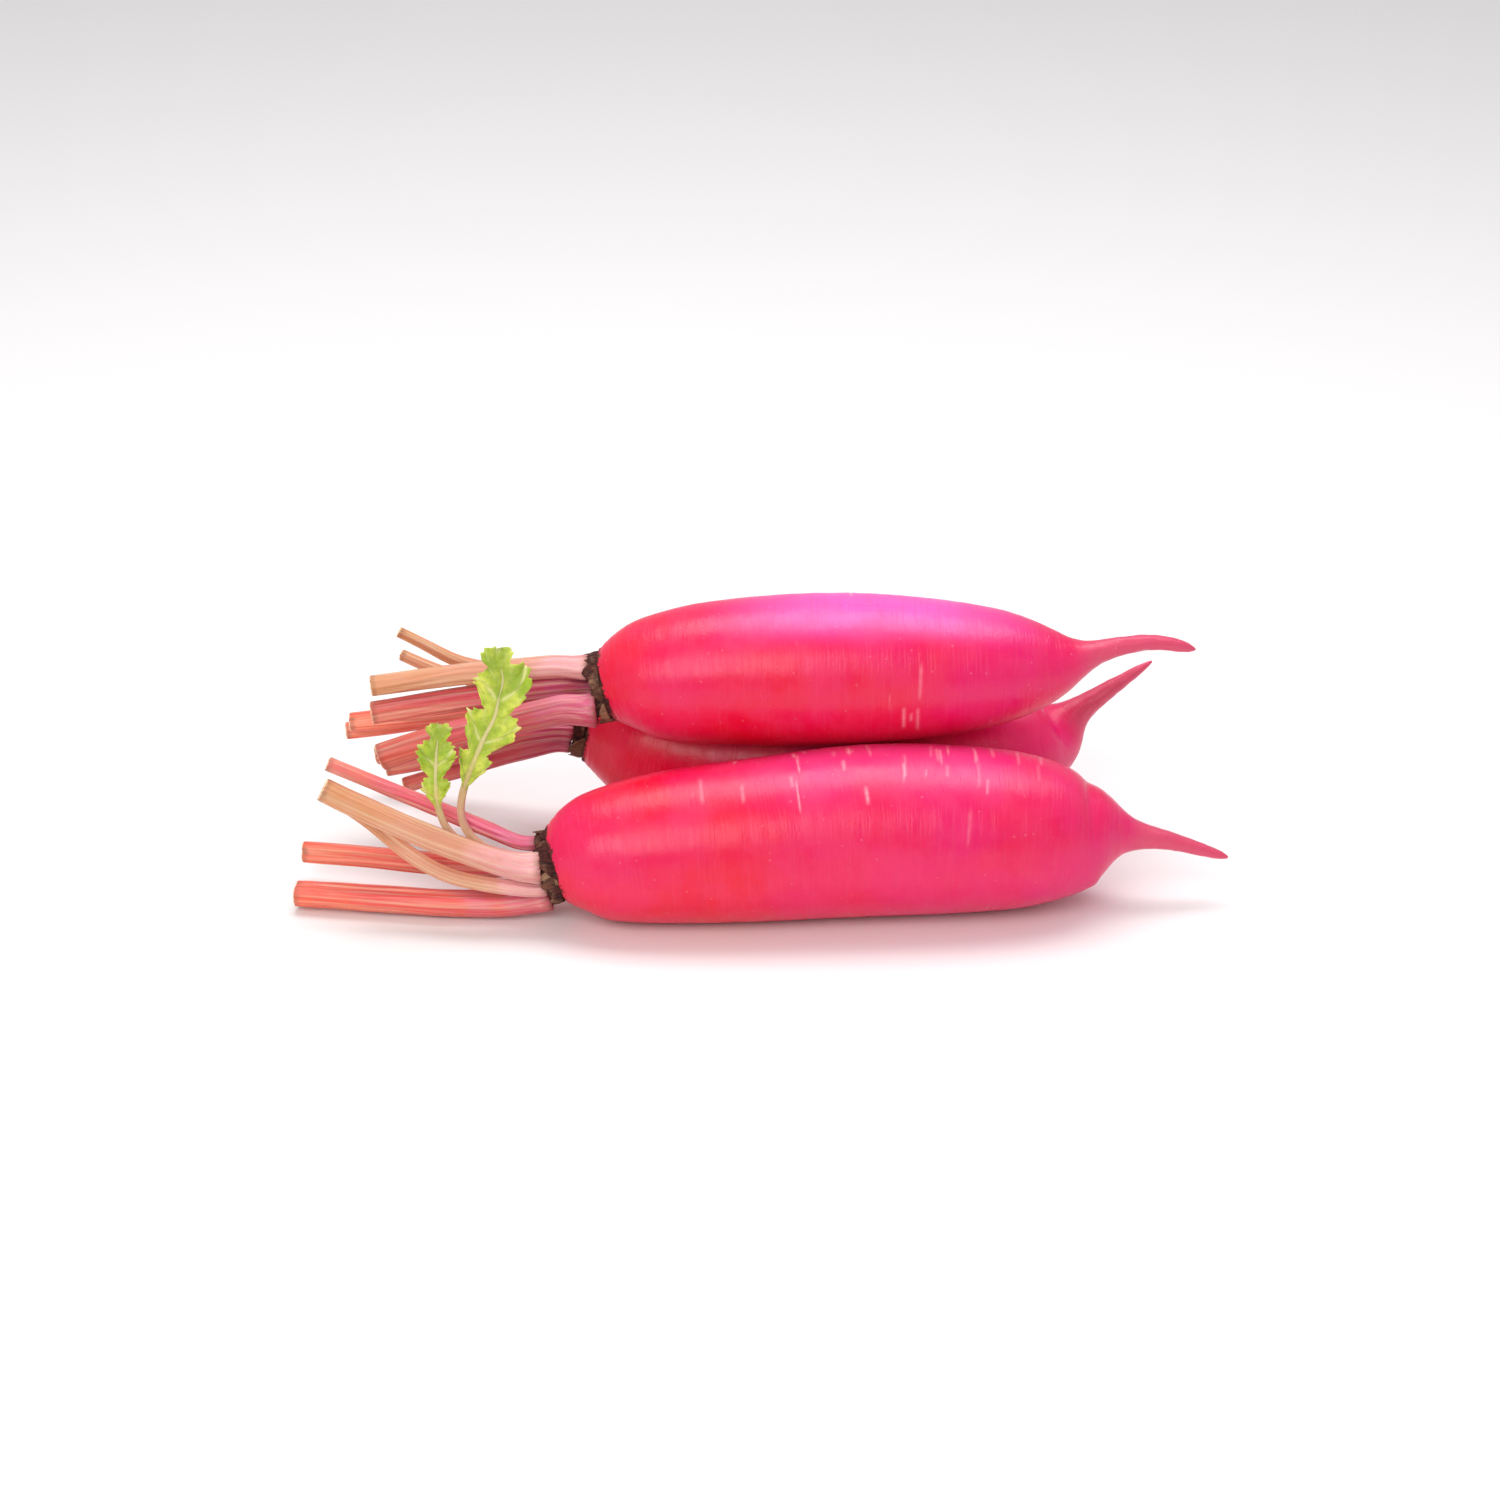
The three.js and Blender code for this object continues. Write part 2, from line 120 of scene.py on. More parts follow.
class Solid:
    """A CAD node's triangles, which can be cut by planes."""

    def __init__(self, node: str) -> None:
        """Reads the node's triangles.

        Args:
            node: the CAD node's name.
        """
        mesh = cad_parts[node].data
        mesh.calc_loop_triangles()
        points = np.array([v.co for v in mesh.vertices], float)
        corners = np.array([t.vertices for t in mesh.loop_triangles])
        self.triangles = points[corners]

    def start_face(self, along: Array) -> tuple[Array, Array]:
        """The flat face that the solid starts with.

        Args:
            along: roughly the direction from its start to its end.

        Returns:
            The face's middle and the direction straight into the solid.
        """
        first, second, third = self.triangles.transpose(1, 0, 2)
        normals = np.cross(second - first, third - first)
        areas = np.linalg.norm(normals, axis=1)
        facing = normals / areas[:, None]
        ends = facing @ along < -0.75
        alike = (facing[:, None] @ facing[ends].T)[:, 0] > 0.9995
        best = int((alike * areas[:, None] * ends[:, None]).sum(0).argmax())
        chosen = alike[:, best] & ends
        middle = (self.triangles[chosen].mean(1) * areas[chosen][:, None]).sum(0) / areas[chosen].sum()
        return middle, -unit(normals[chosen].sum(0))

    def segments(self, middle: Array, along: Array, reach: float) -> Array:
        """The outline that a plane cuts, as short straight segments.

        Args:
            middle: a point on the plane.
            along: the plane's normal.
            reach: how far from middle the outline may be.

        Returns:
            Both ends of each segment.
        """
        height = (self.triangles - middle) @ along
        crossing = (height.min(1) < 0) & (height.max(1) > 0)
        corners, height = self.triangles[crossing], height[crossing]
        ends = []
        for a, b in ((0, 1), (1, 2), (2, 0)):
            apart = height[:, a] - height[:, b]
            share = np.where(np.abs(apart) > 1e-12, height[:, a] / np.where(apart == 0, 1, apart), -1)
            point = corners[:, a] + share[:, None] * (corners[:, b] - corners[:, a])
            ends.append((point, (height[:, a] < 0) != (height[:, b] < 0)))
        found = [[point[i] for point, cuts in ends if cuts[i]] for i in range(len(corners))]
        found = np.array([pair for pair in found if len(pair) == 2]).reshape(-1, 2, 3)
        return found[np.linalg.norm(found.mean(1) - middle, axis=1) < reach]

    def outline(self, middle: Array, along: Array, right: Array, reach: float) -> Array | None:
        """Radii of the cut's outline about a point.

        Args:
            middle: a point on the plane, inside the solid.
            along: the plane's normal.
            right: the direction in the plane that angles are counted from.
            reach: how far from middle the outline may be.

        Returns:
            The radius at each angle, or None where the point isn't inside the solid.
        """
        up = np.cross(along, right)
        flat = self.segments(middle, along, reach) - middle
        if len(flat) < 3:
            return None
        first = np.stack([flat[:, 0] @ right, flat[:, 0] @ up], 1)
        edge = np.stack([flat[:, 1] @ right, flat[:, 1] @ up], 1) - first
        turns = angles_round(ANGLES)
        ray = np.stack([np.cos(turns), np.sin(turns)], 1)
        across = ray[None, :, 0] * edge[:, None, 1] - ray[None, :, 1] * edge[:, None, 0]
        across = np.where(np.abs(across) < 1e-15, 1e-15, across)
        distance = (first[:, 0] * edge[:, 1] - first[:, 1] * edge[:, 0])[:, None] / across
        share = (first[:, None, 0] * ray[None, :, 1] - first[:, None, 1] * ray[None, :, 0]) / across
        hit = (distance > 0) & (share >= -1e-6) & (share <= 1 + 1e-6)
        radii = np.where(hit, distance, -1).max(0)
        return radii if radii.min() > 0 else None

    def cut(self, middle: Array, along: Array, right: Array, reach: float) -> Cut | None:
        """A cut near a point, centred on its own outline.

        Args:
            middle: a point near the cut's middle.
            along: the cut's normal.
            right: the direction that the angles are counted from; it is squared to the cut here.
            reach: how far from the middle the outline may be.

        Returns:
            The cut, or None outside the solid.
        """
        right = unit(right - along * (right @ along))
        up = np.cross(along, right)
        turns = angles_round(ANGLES)
        for _ in range(3):
            radii = self.outline(middle, along, right, reach)
            if radii is None:
                return None
            area = (radii**2).sum() / 2
            shift_right = (radii**3 * np.cos(turns)).sum() / 3 / area
            shift_up = (radii**3 * np.sin(turns)).sum() / 3 / area
            middle = middle + shift_right * right + shift_up * up
        radii = self.outline(middle, along, right, reach)
        return None if radii is None else Cut(middle, along, right, radii)

    def walk(self, start: Cut, step: float, reach: float) -> list[Cut]:
        """Cuts from a start to the solid's end, each one a step on from the last.

        Args:
            start: the first cut; the walk goes the way that its along points.
            step: the distance between cuts.
            reach: how far from the middle the outline may be.

        Returns:
            The cuts after start, in order, closing in on the end.
        """
        cuts, here, heading, stride = [], start, start.along, step
        while stride > SMALLEST_STRIDE * step:
            there = self.cut(here.middle + heading * stride, heading, here.right, reach)
            kept = there is not None and there.radii.mean() > LEAST_SHRINK * here.radii.mean()
            kept = kept and there.evenness() > LEAST_EVENNESS * start.evenness()
            if kept and np.linalg.norm(there.middle - here.middle - heading * stride) < MOST_DRIFT * stride:
                turned = unit(0.5 * heading + 0.5 * unit(there.middle - here.middle))
                there = self.cut(there.middle, turned, here.right, reach) or there
                cuts.append(there)
                heading, here = turned, there
            else:
                stride *= 0.5
        left = self.triangles.reshape(-1, 3) - here.middle
        left = left[(left @ heading > 0) & (np.linalg.norm(left, axis=1) < reach)] @ heading
        rest = float(left.mean()) if len(left) else 0.0
        cuts.append(Cut(here.middle + heading * rest, heading, here.right, here.radii))
        return cuts


class Line:
    """A line through space that can be read at any distance along it."""

    def __init__(self, middles: Array) -> None:
        """Measures the line.

        Args:
            middles: its points in order.
        """
        self.middles = middles
        gaps = np.linalg.norm(np.diff(middles, axis=0), axis=1)
        self.places = np.concatenate([[0], np.cumsum(gaps)])
        self.length = float(self.places[-1])

    def read(self, values: Array, where: Array) -> Array:
        """Vectors stored along the line, at other distances."""
        return np.stack([np.interp(where, self.places, values[:, k]) for k in range(values.shape[1])], 1)

    def smoothed(self, values: Array, places: Array, spread: float) -> Array:
        """Vectors stored along the line, averaged about each of several distances.

        Args:
            values: the vectors, one for each of the line's points.
            places: distances from the start.
            spread: how far along the line the averaging reaches.

        Returns:
            One row for each distance.
        """
        offsets = np.linspace(-1, 1, 7)
        weights = np.exp(-2 * offsets**2)
        room = np.minimum(np.maximum(np.minimum(places, self.length - places), 0), spread)
        rows = sum(w * self.read(values, places + o * room) for o, w in zip(offsets, weights))
        return rows / weights.sum()

    def points(self, places: Array, spread: float) -> tuple[Array, Array]:
        """The line and its direction at several distances, smoothed, and straight on past its ends.

        Args:
            places: distances from the start.
            spread: how far along the line the smoothing reaches.

        Returns:
            Points and along directions.
        """
        middles = self.smoothed(self.middles, places, spread)
        beyond = np.clip(places, None, 0) + np.clip(places - self.length, 0, None)
        span = max(spread, 0.6 * MM)
        ahead = self.read(self.middles, np.clip(places + span, 0, self.length))
        back = self.read(self.middles, np.clip(places - span, 0, self.length))
        alongs = (ahead - back) / np.linalg.norm(ahead - back, axis=1, keepdims=True)
        return middles + alongs * beyond[:, None], alongs


def leaf_line(node: str, along: Sequence[float], step: float, reach: float) -> Line:
    """The middle line of a thin leaf, traced from its foot through the middles of its cuts.

    Args:
        node: the CAD node's name.
        along: the direction that the leaf leaves its foot in.
        step: the distance between cuts.
        reach: how far from the middle the leaf may spread.

    Returns:
        The line from the foot to the tip.
    """
    solid = Solid(node)
    points = solid.triangles.reshape(-1, 3)
    heading = unit(np.array(along, float))
    behind = points @ -heading
    middles, stride = [points[behind > behind.max() - 0.3 * MM].mean(0)], step
    while stride > 0.05 * step and len(middles) < MOST_LEAF_CUTS:
        guess = middles[-1] + heading * stride
        cut = solid.segments(guess, heading, reach)
        if len(cut) < 3:
            stride *= 0.5
            continue
        weights = np.linalg.norm(cut[:, 1] - cut[:, 0], axis=1)
        aside = (cut.mean(1) * weights[:, None]).sum(0) / weights.sum() - guess
        aside *= min(1.0, 0.4 * stride / max(float(np.linalg.norm(aside)), 1e-9)) * (stride == step)
        heading = unit(0.7 * heading + 0.3 * unit(guess + aside - middles[-1]))
        middles.append(guess + aside)
    return Line(np.array(middles))


class CentreLine(Line):
    """A solid's centre line with its outline all along."""

    def __init__(
        self, node: str, along: Sequence[float], right: Sequence[float], step: float, reach: float
    ) -> None:
        """Measures the node from its start face to its other end.

        Args:
            node: the CAD node's name.
            along: roughly the direction from its start to its end.
            right: the direction that angles are counted from.
            step: the distance between cuts.
            reach: how far from the middle the outline may be.
        """
        solid = Solid(node)
        middle, heading = solid.start_face(unit(np.array(along, float)))
        start = solid.cut(middle + 0.3 * MM * heading, heading, np.array(right, float), reach)
        if start is None:
            raise RuntimeError(f"{node} can't be cut at its start")
        face = Cut(middle, heading, start.right, start.radii)
        cuts = [face, start, *solid.walk(start, step, reach)]
        super().__init__(np.array([c.middle for c in cuts]))
        self.rights = np.array([c.right for c in cuts])
        self.radii = np.array([c.radii for c in cuts])

    def at(self, places: Array, spread: float) -> Frame:
        """The centre line and its directions at several distances, smoothed.

        Args:
            places: distances from the start.
            spread: how far along the line the smoothing reaches.

        Returns:
            Middles, along directions, right directions and up directions.
        """
        middles, alongs = self.points(places, spread)
        rights = self.read(self.rights, places)
        rights = rights - alongs * (rights * alongs).sum(1, keepdims=True)
        rights = rights / np.linalg.norm(rights, axis=1, keepdims=True)
        return middles, alongs, rights, np.cross(alongs, rights)

    def outline(self, places: Array, waves: int, spread: float) -> Array:
        """Radii at several distances, smoothed along the line and round it.

        Args:
            places: distances from the start.
            waves: how many waves round the outline are kept.
            spread: how far along the line the smoothing reaches.

        Returns:
            One row of ANGLES radii for each distance.
        """
        spectrum = np.fft.rfft(self.smoothed(self.radii, places, spread), axis=1)
        spectrum[:, waves + 1:] = 0
        return np.fft.irfft(spectrum, ANGLES, axis=1)


# ---------------------------------------------------------------- modelling


def select(*pieces: Piece) -> None:
    """Selects some pieces and nothing else, and makes the last one active.

    Args:
        pieces: the pieces.
    """
    bpy.ops.object.select_all(action="DESELECT")
    for piece in pieces:
        piece.select_set(True)
    bpy.context.view_layer.objects.active = pieces[-1]


def begin(add: Callable, **settings: object) -> Piece:
    """Adds a new object while nothing else is selected.

    Args:
        add: the operator that adds it.
        settings: the operator's settings.

    Returns:
        The new object.
    """
    bpy.ops.object.select_all(action="DESELECT")
    add(**settings)
    return bpy.context.active_object


def join(*pieces: Piece) -> Piece:
    """Joins pieces into the last one."""
    select(*pieces)
    bpy.ops.object.join()
    return pieces[-1]


def face_outwards(piece: Piece) -> None:
    """Points every face of a closed piece outwards.

    Args:
        piece: the piece.
    """
    select(piece)
    bpy.ops.object.mode_set(mode="EDIT")
    bpy.ops.mesh.select_all(action="SELECT")
    bpy.ops.mesh.normals_make_consistent(inside=False)
    bpy.ops.object.mode_set(mode="OBJECT")


def apply_modifier(piece: Piece, kind: str, **settings: float) -> None:
    """Adds a modifier to a piece and applies it.

    Args:
        piece: the piece.
        kind: the modifier's type.
        settings: its settings.
    """
    select(piece)
    bpy.ops.object.modifier_add(type=kind)
    modifier = piece.modifiers[-1]
    for key, value in settings.items():
        setattr(modifier, key, value)
    bpy.ops.object.modifier_apply(modifier=modifier.name)


def subdivide(piece: Piece, levels: int) -> None:
    """Rounds a piece with an applied subdivision surface."""
    apply_modifier(piece, "SUBSURF", levels=levels, render_levels=levels)


@dataclass
class Ring:
    """One loop of a piece: its points in the row frame, and the same points as if the piece were straight."""

    points: Array
    straight: Array


def round_ring(middle: Array, right: Array, up: Array, radii: Array, place: float) -> Ring:
    """A ring about the centre line.

    Args:
        middle: the ring's middle.
        right, up: the directions that its angles are counted from and towards.
        radii: the radius at each angle.
        place: the ring's distance along the piece.

    Returns:
        The ring.
    """
    turns = angles_round(len(radii))
    across, high = radii * np.cos(turns), radii * np.sin(turns)
    points = middle + across[:, None] * right + high[:, None] * up
    return Ring(points, np.stack([across, high, np.full(len(radii), place)], 1))


def resampled(radii: Array, sides: int) -> Array:
    """The same outline with another number of sides."""
    turns = np.arange(sides) / sides * len(radii)
    return np.interp(turns, np.arange(len(radii) + 1), np.append(radii, radii[0]))


def loft(name: str, rings: Sequence[Ring]) -> Piece:
    """Extrudes a loop through every ring, and draws both ends together.

    Args:
        name: the new object's name.
        rings: the rings in order, all with as many points.

    Returns:
        The object, whose mesh has the attribute straight.
    """
    sides = len(rings[0].points)
    piece = begin(bpy.ops.mesh.primitive_circle_add, vertices=sides, radius=0.01, fill_type="NOTHING")
    piece.name = name
    piece.data.name = name
    bpy.ops.object.mode_set(mode="EDIT")
    bpy.ops.mesh.select_mode(type="VERT")
    bpy.ops.mesh.select_all(action="SELECT")
    mesh = bmesh.from_edit_mesh(piece.data)
    turn = mesh.verts.layers.int.new("turn")
    level = mesh.verts.layers.int.new("level")
    mesh.verts.layers.float_vector.new("straight")
    mesh.verts.ensure_lookup_table()
    for k, vertex in enumerate(mesh.verts):
        vertex[turn] = k
    for number, ring in enumerate(rings):
        if number:
            bpy.ops.mesh.extrude_region_move()
        mesh = bmesh.from_edit_mesh(piece.data)
        turn, level = mesh.verts.layers.int["turn"], mesh.verts.layers.int["level"]
        straight = mesh.verts.layers.float_vector["straight"]
        for vertex in mesh.verts:
            if vertex.select:
                vertex.co = ring.points[vertex[turn]]
                vertex[straight] = ring.straight[vertex[turn]]
                vertex[level] = number
        bmesh.update_edit_mesh(piece.data)
    for end in (len(rings) - 1, 0):
        bpy.ops.mesh.select_all(action="DESELECT")
        mesh = bmesh.from_edit_mesh(piece.data)
        level = mesh.verts.layers.int["level"]
        for vertex in mesh.verts:
            vertex.select = vertex[level] == end
        mesh.select_flush(True)
        bmesh.update_edit_mesh(piece.data)
        bpy.ops.mesh.extrude_region_move()
        bpy.ops.mesh.merge(type="CENTER")
    bpy.ops.mesh.select_all(action="SELECT")
    bpy.ops.mesh.normals_make_consistent(inside=False)
    bpy.ops.object.mode_set(mode="OBJECT")
    for spare in ("turn", "level"):
        piece.data.attributes.remove(piece.data.attributes[spare])
    return piece


def read_straight(piece: Piece) -> Array:
    """Where each vertex would be if the piece were straight, one row each.

    Args:
        piece: the piece.

    Returns:
        Two coordinates across it and the distance along it.
    """
    values = np.zeros(len(piece.data.vertices) * 3, np.float32)
    piece.data.attributes["straight"].data.foreach_get("vector", values)
    return values.reshape(-1, 3).astype(float)


def write_straight(piece: Piece, values: Array) -> None:
    """Stores where each vertex would be if the piece were straight."""
    layer = piece.data.attributes.new("straight", "FLOAT_VECTOR", "POINT")
    layer.data.foreach_set("vector", values.astype(np.float32).ravel())


def write_mask(piece: Piece, name: str, values: Array) -> None:
    """Stores one number for each vertex.

    Args:
        piece: the piece.
        name: the attribute's name.
        values: the numbers.
    """
    attribute = piece.data.attributes.get(name) or piece.data.attributes.new(name, "FLOAT", "POINT")
    attribute.data.foreach_set("value", values.astype(np.float32))


def points_of(piece: Piece) -> Array:
    """A piece's vertices.

    Args:
        piece: the piece.

    Returns:
        Their places, one row each.
    """
    values = np.zeros(len(piece.data.vertices) * 3, np.float32)
    piece.data.vertices.foreach_get("co", values)
    return values.reshape(-1, 3).astype(float)


def raise_by(piece: Piece, heights: Array) -> None:
    """Moves each vertex outwards along its own normal.

    Args:
        piece: the piece.
        heights: how far each vertex moves.
    """
    normals = np.zeros(len(piece.data.vertices) * 3, np.float32)
    piece.data.vertex_normals.foreach_get("vector", normals)
    place_points(piece, points_of(piece) + normals.reshape(-1, 3) * heights[:, None])


def place_points(piece: Piece, points: Array) -> None:
    """Puts a piece's vertices at new places."""
    piece.data.vertices.foreach_set("co", points.astype(np.float32).ravel())
    piece.data.update()


def ripple(points: Array, size: float, seed: float) -> Array:
    """Smooth noise between about -1 and 1.

    Args:
        points: where it is read, one row each.
        size: the size of its bumps.
        seed: which noise it is.

    Returns:
        One value for each point.
    """
    shift = Vector((seed * 3.17, seed * 1.73, -seed * 2.39))
    return np.array([noise.noise(Vector(p) + shift) for p in points / size])


def finish_piece(piece: Piece, node: str, material: bpy.types.Material) -> None:
    """Shades a piece, gives it its material and puts it on the frame in place of its CAD node.

    Args:
        piece: the finished mesh.
        node: the CAD node that it replaces.
        material: the piece's material.
    """
    select(piece)
    bpy.ops.object.shade_smooth()
    piece.data.materials.clear()
    piece.data.materials.append(material)
    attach(piece, "root")
    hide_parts(node)
    LOG.info("%s: %d vertices", piece.name, len(piece.data.vertices))


# ---------------------------------------------------------------- finishes


class Web:
    """A material's or group's nodes, with short ways to add and join them."""

    def __init__(self, tree: bpy.types.NodeTree) -> None:
        """Works on the given node tree."""
        self.tree = tree

    def give(self, node: bpy.types.Node, inputs: dict) -> None:
        """Sets or links some of a node's inputs.

        Args:
            node: the node.
            inputs: values or sockets, by the input's name or number.
        """
        for key, value in inputs.items():
            if isinstance(value, Socket):
                self.tree.links.new(value, node.inputs[key])
            elif node.inputs[key].type == "RGBA":
                node.inputs[key].default_value = (*value, 1)
            else:
                node.inputs[key].default_value = value

    def add(self, kind: str, inputs: dict | None = None, **settings: object) -> bpy.types.Node:
        """Adds a node.

        Args:
            kind: the node's type.
            inputs: values or sockets for its inputs, by name or number.
            settings: its own properties.

        Returns:
            The node.
        """
        node = self.tree.nodes.new(kind)
        for key, value in settings.items():
            setattr(node, key, value)
        self.give(node, inputs or {})
        return node

    def math(self, operation: str, first: object, second: object, clamp: bool = False) -> Socket:
        """The result of a Math node."""
        node = self.add("ShaderNodeMath", {0: first, 1: second}, operation=operation, use_clamp=clamp)
        return node.outputs[0]

    def times(self, first: object, second: object) -> Socket:
        """The product of two values."""
        return self.math("MULTIPLY", first, second)

    def plus(self, first: object, second: object, clamp: bool = False) -> Socket:
        """The sum of two values."""
        return self.math("ADD", first, second, clamp)

    def minus(self, first: object, second: object) -> Socket:
        """The first value less the second."""
        return self.math("SUBTRACT", first, second)

    def remap(
        self, value: object, low: object, high: object, to_low: float = 0.0, to_high: float = 1.0
    ) -> Socket:
        """A value stretched from one range to another, held at its ends."""
        inputs = {"Value": value, "From Min": low, "From Max": high, "To Min": to_low, "To Max": to_high}
        return self.add("ShaderNodeMapRange", inputs, interpolation_type="SMOOTHSTEP").outputs[0]

    def mix(self, share: object, first: object, second: object) -> Socket:
        """A colour between two colours."""
        return self.add("ShaderNodeMix", {0: share, 6: first, 7: second}, data_type="RGBA").outputs[2]

    def mask(self, name: str) -> Socket:
        """One of the piece's own numbers."""
        return self.add("ShaderNodeAttribute", attribute_name=name).outputs["Fac"]

    def straight(self) -> Socket:
        """The piece's own straightened coordinates."""
        return self.add("ShaderNodeAttribute", attribute_name="straight").outputs["Vector"]

    def place(self) -> Socket:
        """The piece's object coordinates."""
        return self.add("ShaderNodeTexCoord").outputs["Object"]

    def noise(self, vector: Socket, scale: object, detail: float, **more: float) -> Socket:
        """Noise between 0 and 1."""
        inputs = {"Vector": vector, "Scale": scale, "Detail": detail, **more}
        return self.add("ShaderNodeTexNoise", inputs).outputs["Fac"]

    def bump(self, height: Socket, strength: float) -> Socket:
        """The normal over a small relief."""
        inputs = {"Height": height, "Strength": strength, "Distance": BUMP_DEPTH}
        return self.add("ShaderNodeBump", inputs).outputs[0]

    def group(self, name: str, inputs: dict) -> Socket:
        """The first output of a shared group."""
        return self.add("ShaderNodeGroup", inputs, node_tree=bpy.data.node_groups[name]).outputs[0]

    def blotches(self, vector: Socket, scale: float, low: float, high: float) -> Socket:
        """Soft uneven patches."""
        return self.group(BLOTCHES, {"Vector": vector, "Scale": scale, "Low": low, "High": high})

    def streaks(self, vector: Socket, across: float, lengthwise: float, low: float, high: float) -> Socket:
        """Fine lines drawn out one way."""
        inputs = {"Vector": vector, "Across": across, "Lengthwise": lengthwise, "Low": low, "High": high}
        return self.group(STREAKS, inputs)


def shared_group(name: str, numbers: dict[str, float]) -> tuple[Web, Sequence[Socket], bpy.types.Node]:
    """A new node group with a Vector input, some numbers and a Mask output.

    Args:
        name: the group's name.
        numbers: its number inputs with their first values.

    Returns:
        The group's web, its given values by name and its output node.
    """
    tree = bpy.data.node_groups.new(name, "ShaderNodeTree")
    tree.interface.new_socket("Vector", in_out="INPUT", socket_type="NodeSocketVector")
    for key, value in numbers.items():
        socket = tree.interface.new_socket(key, in_out="INPUT", socket_type="NodeSocketFloat")
        socket.default_value = value
    tree.interface.new_socket("Mask", in_out="OUTPUT", socket_type="NodeSocketFloat")
    web = Web(tree)
    return web, web.add("NodeGroupInput").outputs, web.add("NodeGroupOutput")


def build_blotches() -> None:
    """Builds the shared group for soft uneven patches, as in the colour of any skin."""
    web, given, result = shared_group(BLOTCHES, {"Scale": 40.0, "Low": 0.35, "High": 0.65})
    grain = web.noise(given["Vector"], given["Scale"], 3.0, Roughness=0.55)
    web.give(result, {0: web.remap(grain, given["Low"], given["High"])})


def build_streaks() -> None:
    """Builds the shared group for fine lines: one scale goes across them and the other lengthwise."""
    web, given, result = shared_group(STREAKS, {"Across": 900.0, "Lengthwise": 20.0, "Low": 0.4, "High": 0.6})
    across = given["Across"]
    scale = web.add("ShaderNodeCombineXYZ", {"X": across, "Y": across, "Z": given["Lengthwise"]}).outputs[0]
    drawn = web.add("ShaderNodeVectorMath", {0: given["Vector"], 1: scale}, operation="MULTIPLY").outputs[0]
    grain = web.noise(drawn, 1.0, 4.0, Roughness=0.6)
    web.give(result, {0: web.remap(grain, given["Low"], given["High"])})


def new_material(name: str) -> tuple[bpy.types.Material, Web, bpy.types.Node]:
    """A material with its Principled BSDF.

    Args:
        name: the material's name.

    Returns:
        The material, its nodes' web and its BSDF.
    """
    material = bpy.data.materials.new(name)
    material.use_nodes = True
    return material, Web(material.node_tree), material.node_tree.nodes["Principled BSDF"]


@dataclass(frozen=True)
class RootSkin:
    """Waxy crimson skin that turns magenta in patches, with pale scars, a paler tail, a corky crown and a
    painted violet-pink highlight along its top.
    """

    name: str
    crimson: Colour
    magenta: Colour
    blush: Colour
    painted_highlight: Colour
    tail: Colour
    scar: Colour = tint(255, 176, 190)
    bark_dark: Colour = tint(46, 14, 14)
    bark_mid: Colour = tint(98, 46, 38)
    bark_light: Colour = tint(188, 146, 112)

    def material(self) -> bpy.types.Material:
        """Builds the material.

        Returns:
            The material.
        """
        material, web, skin = new_material(self.name)
        place = web.place()
        straight = web.straight()
        patches = web.blotches(place, 26.0, 0.34, 0.68)
        clouds = web.blotches(straight, 95.0, 0.3, 0.72)
        rings = web.streaks(straight, 60.0, 1100.0, 0.45, 0.72)
        grain = web.streaks(straight, 700.0, 45.0, 0.4, 0.7)
        turned = web.plus(web.times(patches, 0.55), web.remap(web.mask("along"), 0.2, 0.95, 0.0, 0.6))
        body = web.mix(turned, self.crimson, self.magenta)
        # Painted highlight: violet-pink on each root's upper side, standing in for the overhead light's
        # reflection.
        body = web.mix(web.mask("painted_highlight"), body, self.painted_highlight)
        body = web.mix(web.times(clouds, 0.2), body, self.blush)
        body = web.mix(web.times(rings, 0.14), body, self.blush)
        body = web.mix(web.times(grain, 0.1), body, self.magenta)
        body = web.mix(web.mask("tail"), body, self.tail)
        dots = web.add("ShaderNodeTexVoronoi", {"Vector": straight, "Scale": 210.0, "Randomness": 1.0})
        pores = web.remap(dots.outputs["Distance"], 0.11, 0.05)
        body = web.mix(web.times(pores, 0.12), body, self.scar)
        scars = web.times(web.mask("scar"), web.remap(grain, 0.0, 0.7, 0.75, 1.0))
        body = web.mix(scars, body, self.scar)
        cracks = web.streaks(straight, 1500.0, 260.0, 0.34, 0.7)
        flakes = web.blotches(place, 330.0, 0.5, 0.72)
        bark = web.mix(cracks, self.bark_dark, self.bark_mid)
        dry = web.plus(web.mask("dry"), web.times(flakes, 0.3), clamp=True)
        bark = web.mix(web.times(dry, web.remap(cracks, 0.0, 1.0, 0.55, 1.0)), bark, self.bark_light)
        edge = web.plus(web.mask("cork"), web.times(web.minus(cracks, 0.5), 0.5))
        corky = web.remap(edge, 0.35, 0.6)
        colour = web.mix(corky, body, bark)
        gloss = web.remap(clouds, 0.0, 1.0, 0.3, 0.42)
        rough = web.add("ShaderNodeMix", {0: corky, 2: gloss, 3: 0.9}, data_type="FLOAT").outputs[0]
        waxed = web.times(web.minus(1.0, corky), 0.12)
        fine = web.noise(straight, 850.0, 3.0)
        height = web.plus(web.times(rings, -0.3), web.times(fine, 0.25))
        height = web.plus(height, web.times(pores, 0.3))
        crust = web.times(web.times(cracks, corky), 2.4)
        web.give(skin, {"Base Color": colour, "Roughness": rough, "Coat Weight": waxed,
                        "Coat Roughness": 0.22, "Specular IOR Level": 0.36, "Subsurface Weight": 0.1,
                        "Subsurface Radius": (1.0, 0.25, 0.2), "Subsurface Scale": 3 * MM,
                        "Normal": web.bump(web.plus(height, crust), 0.55)})
        return material


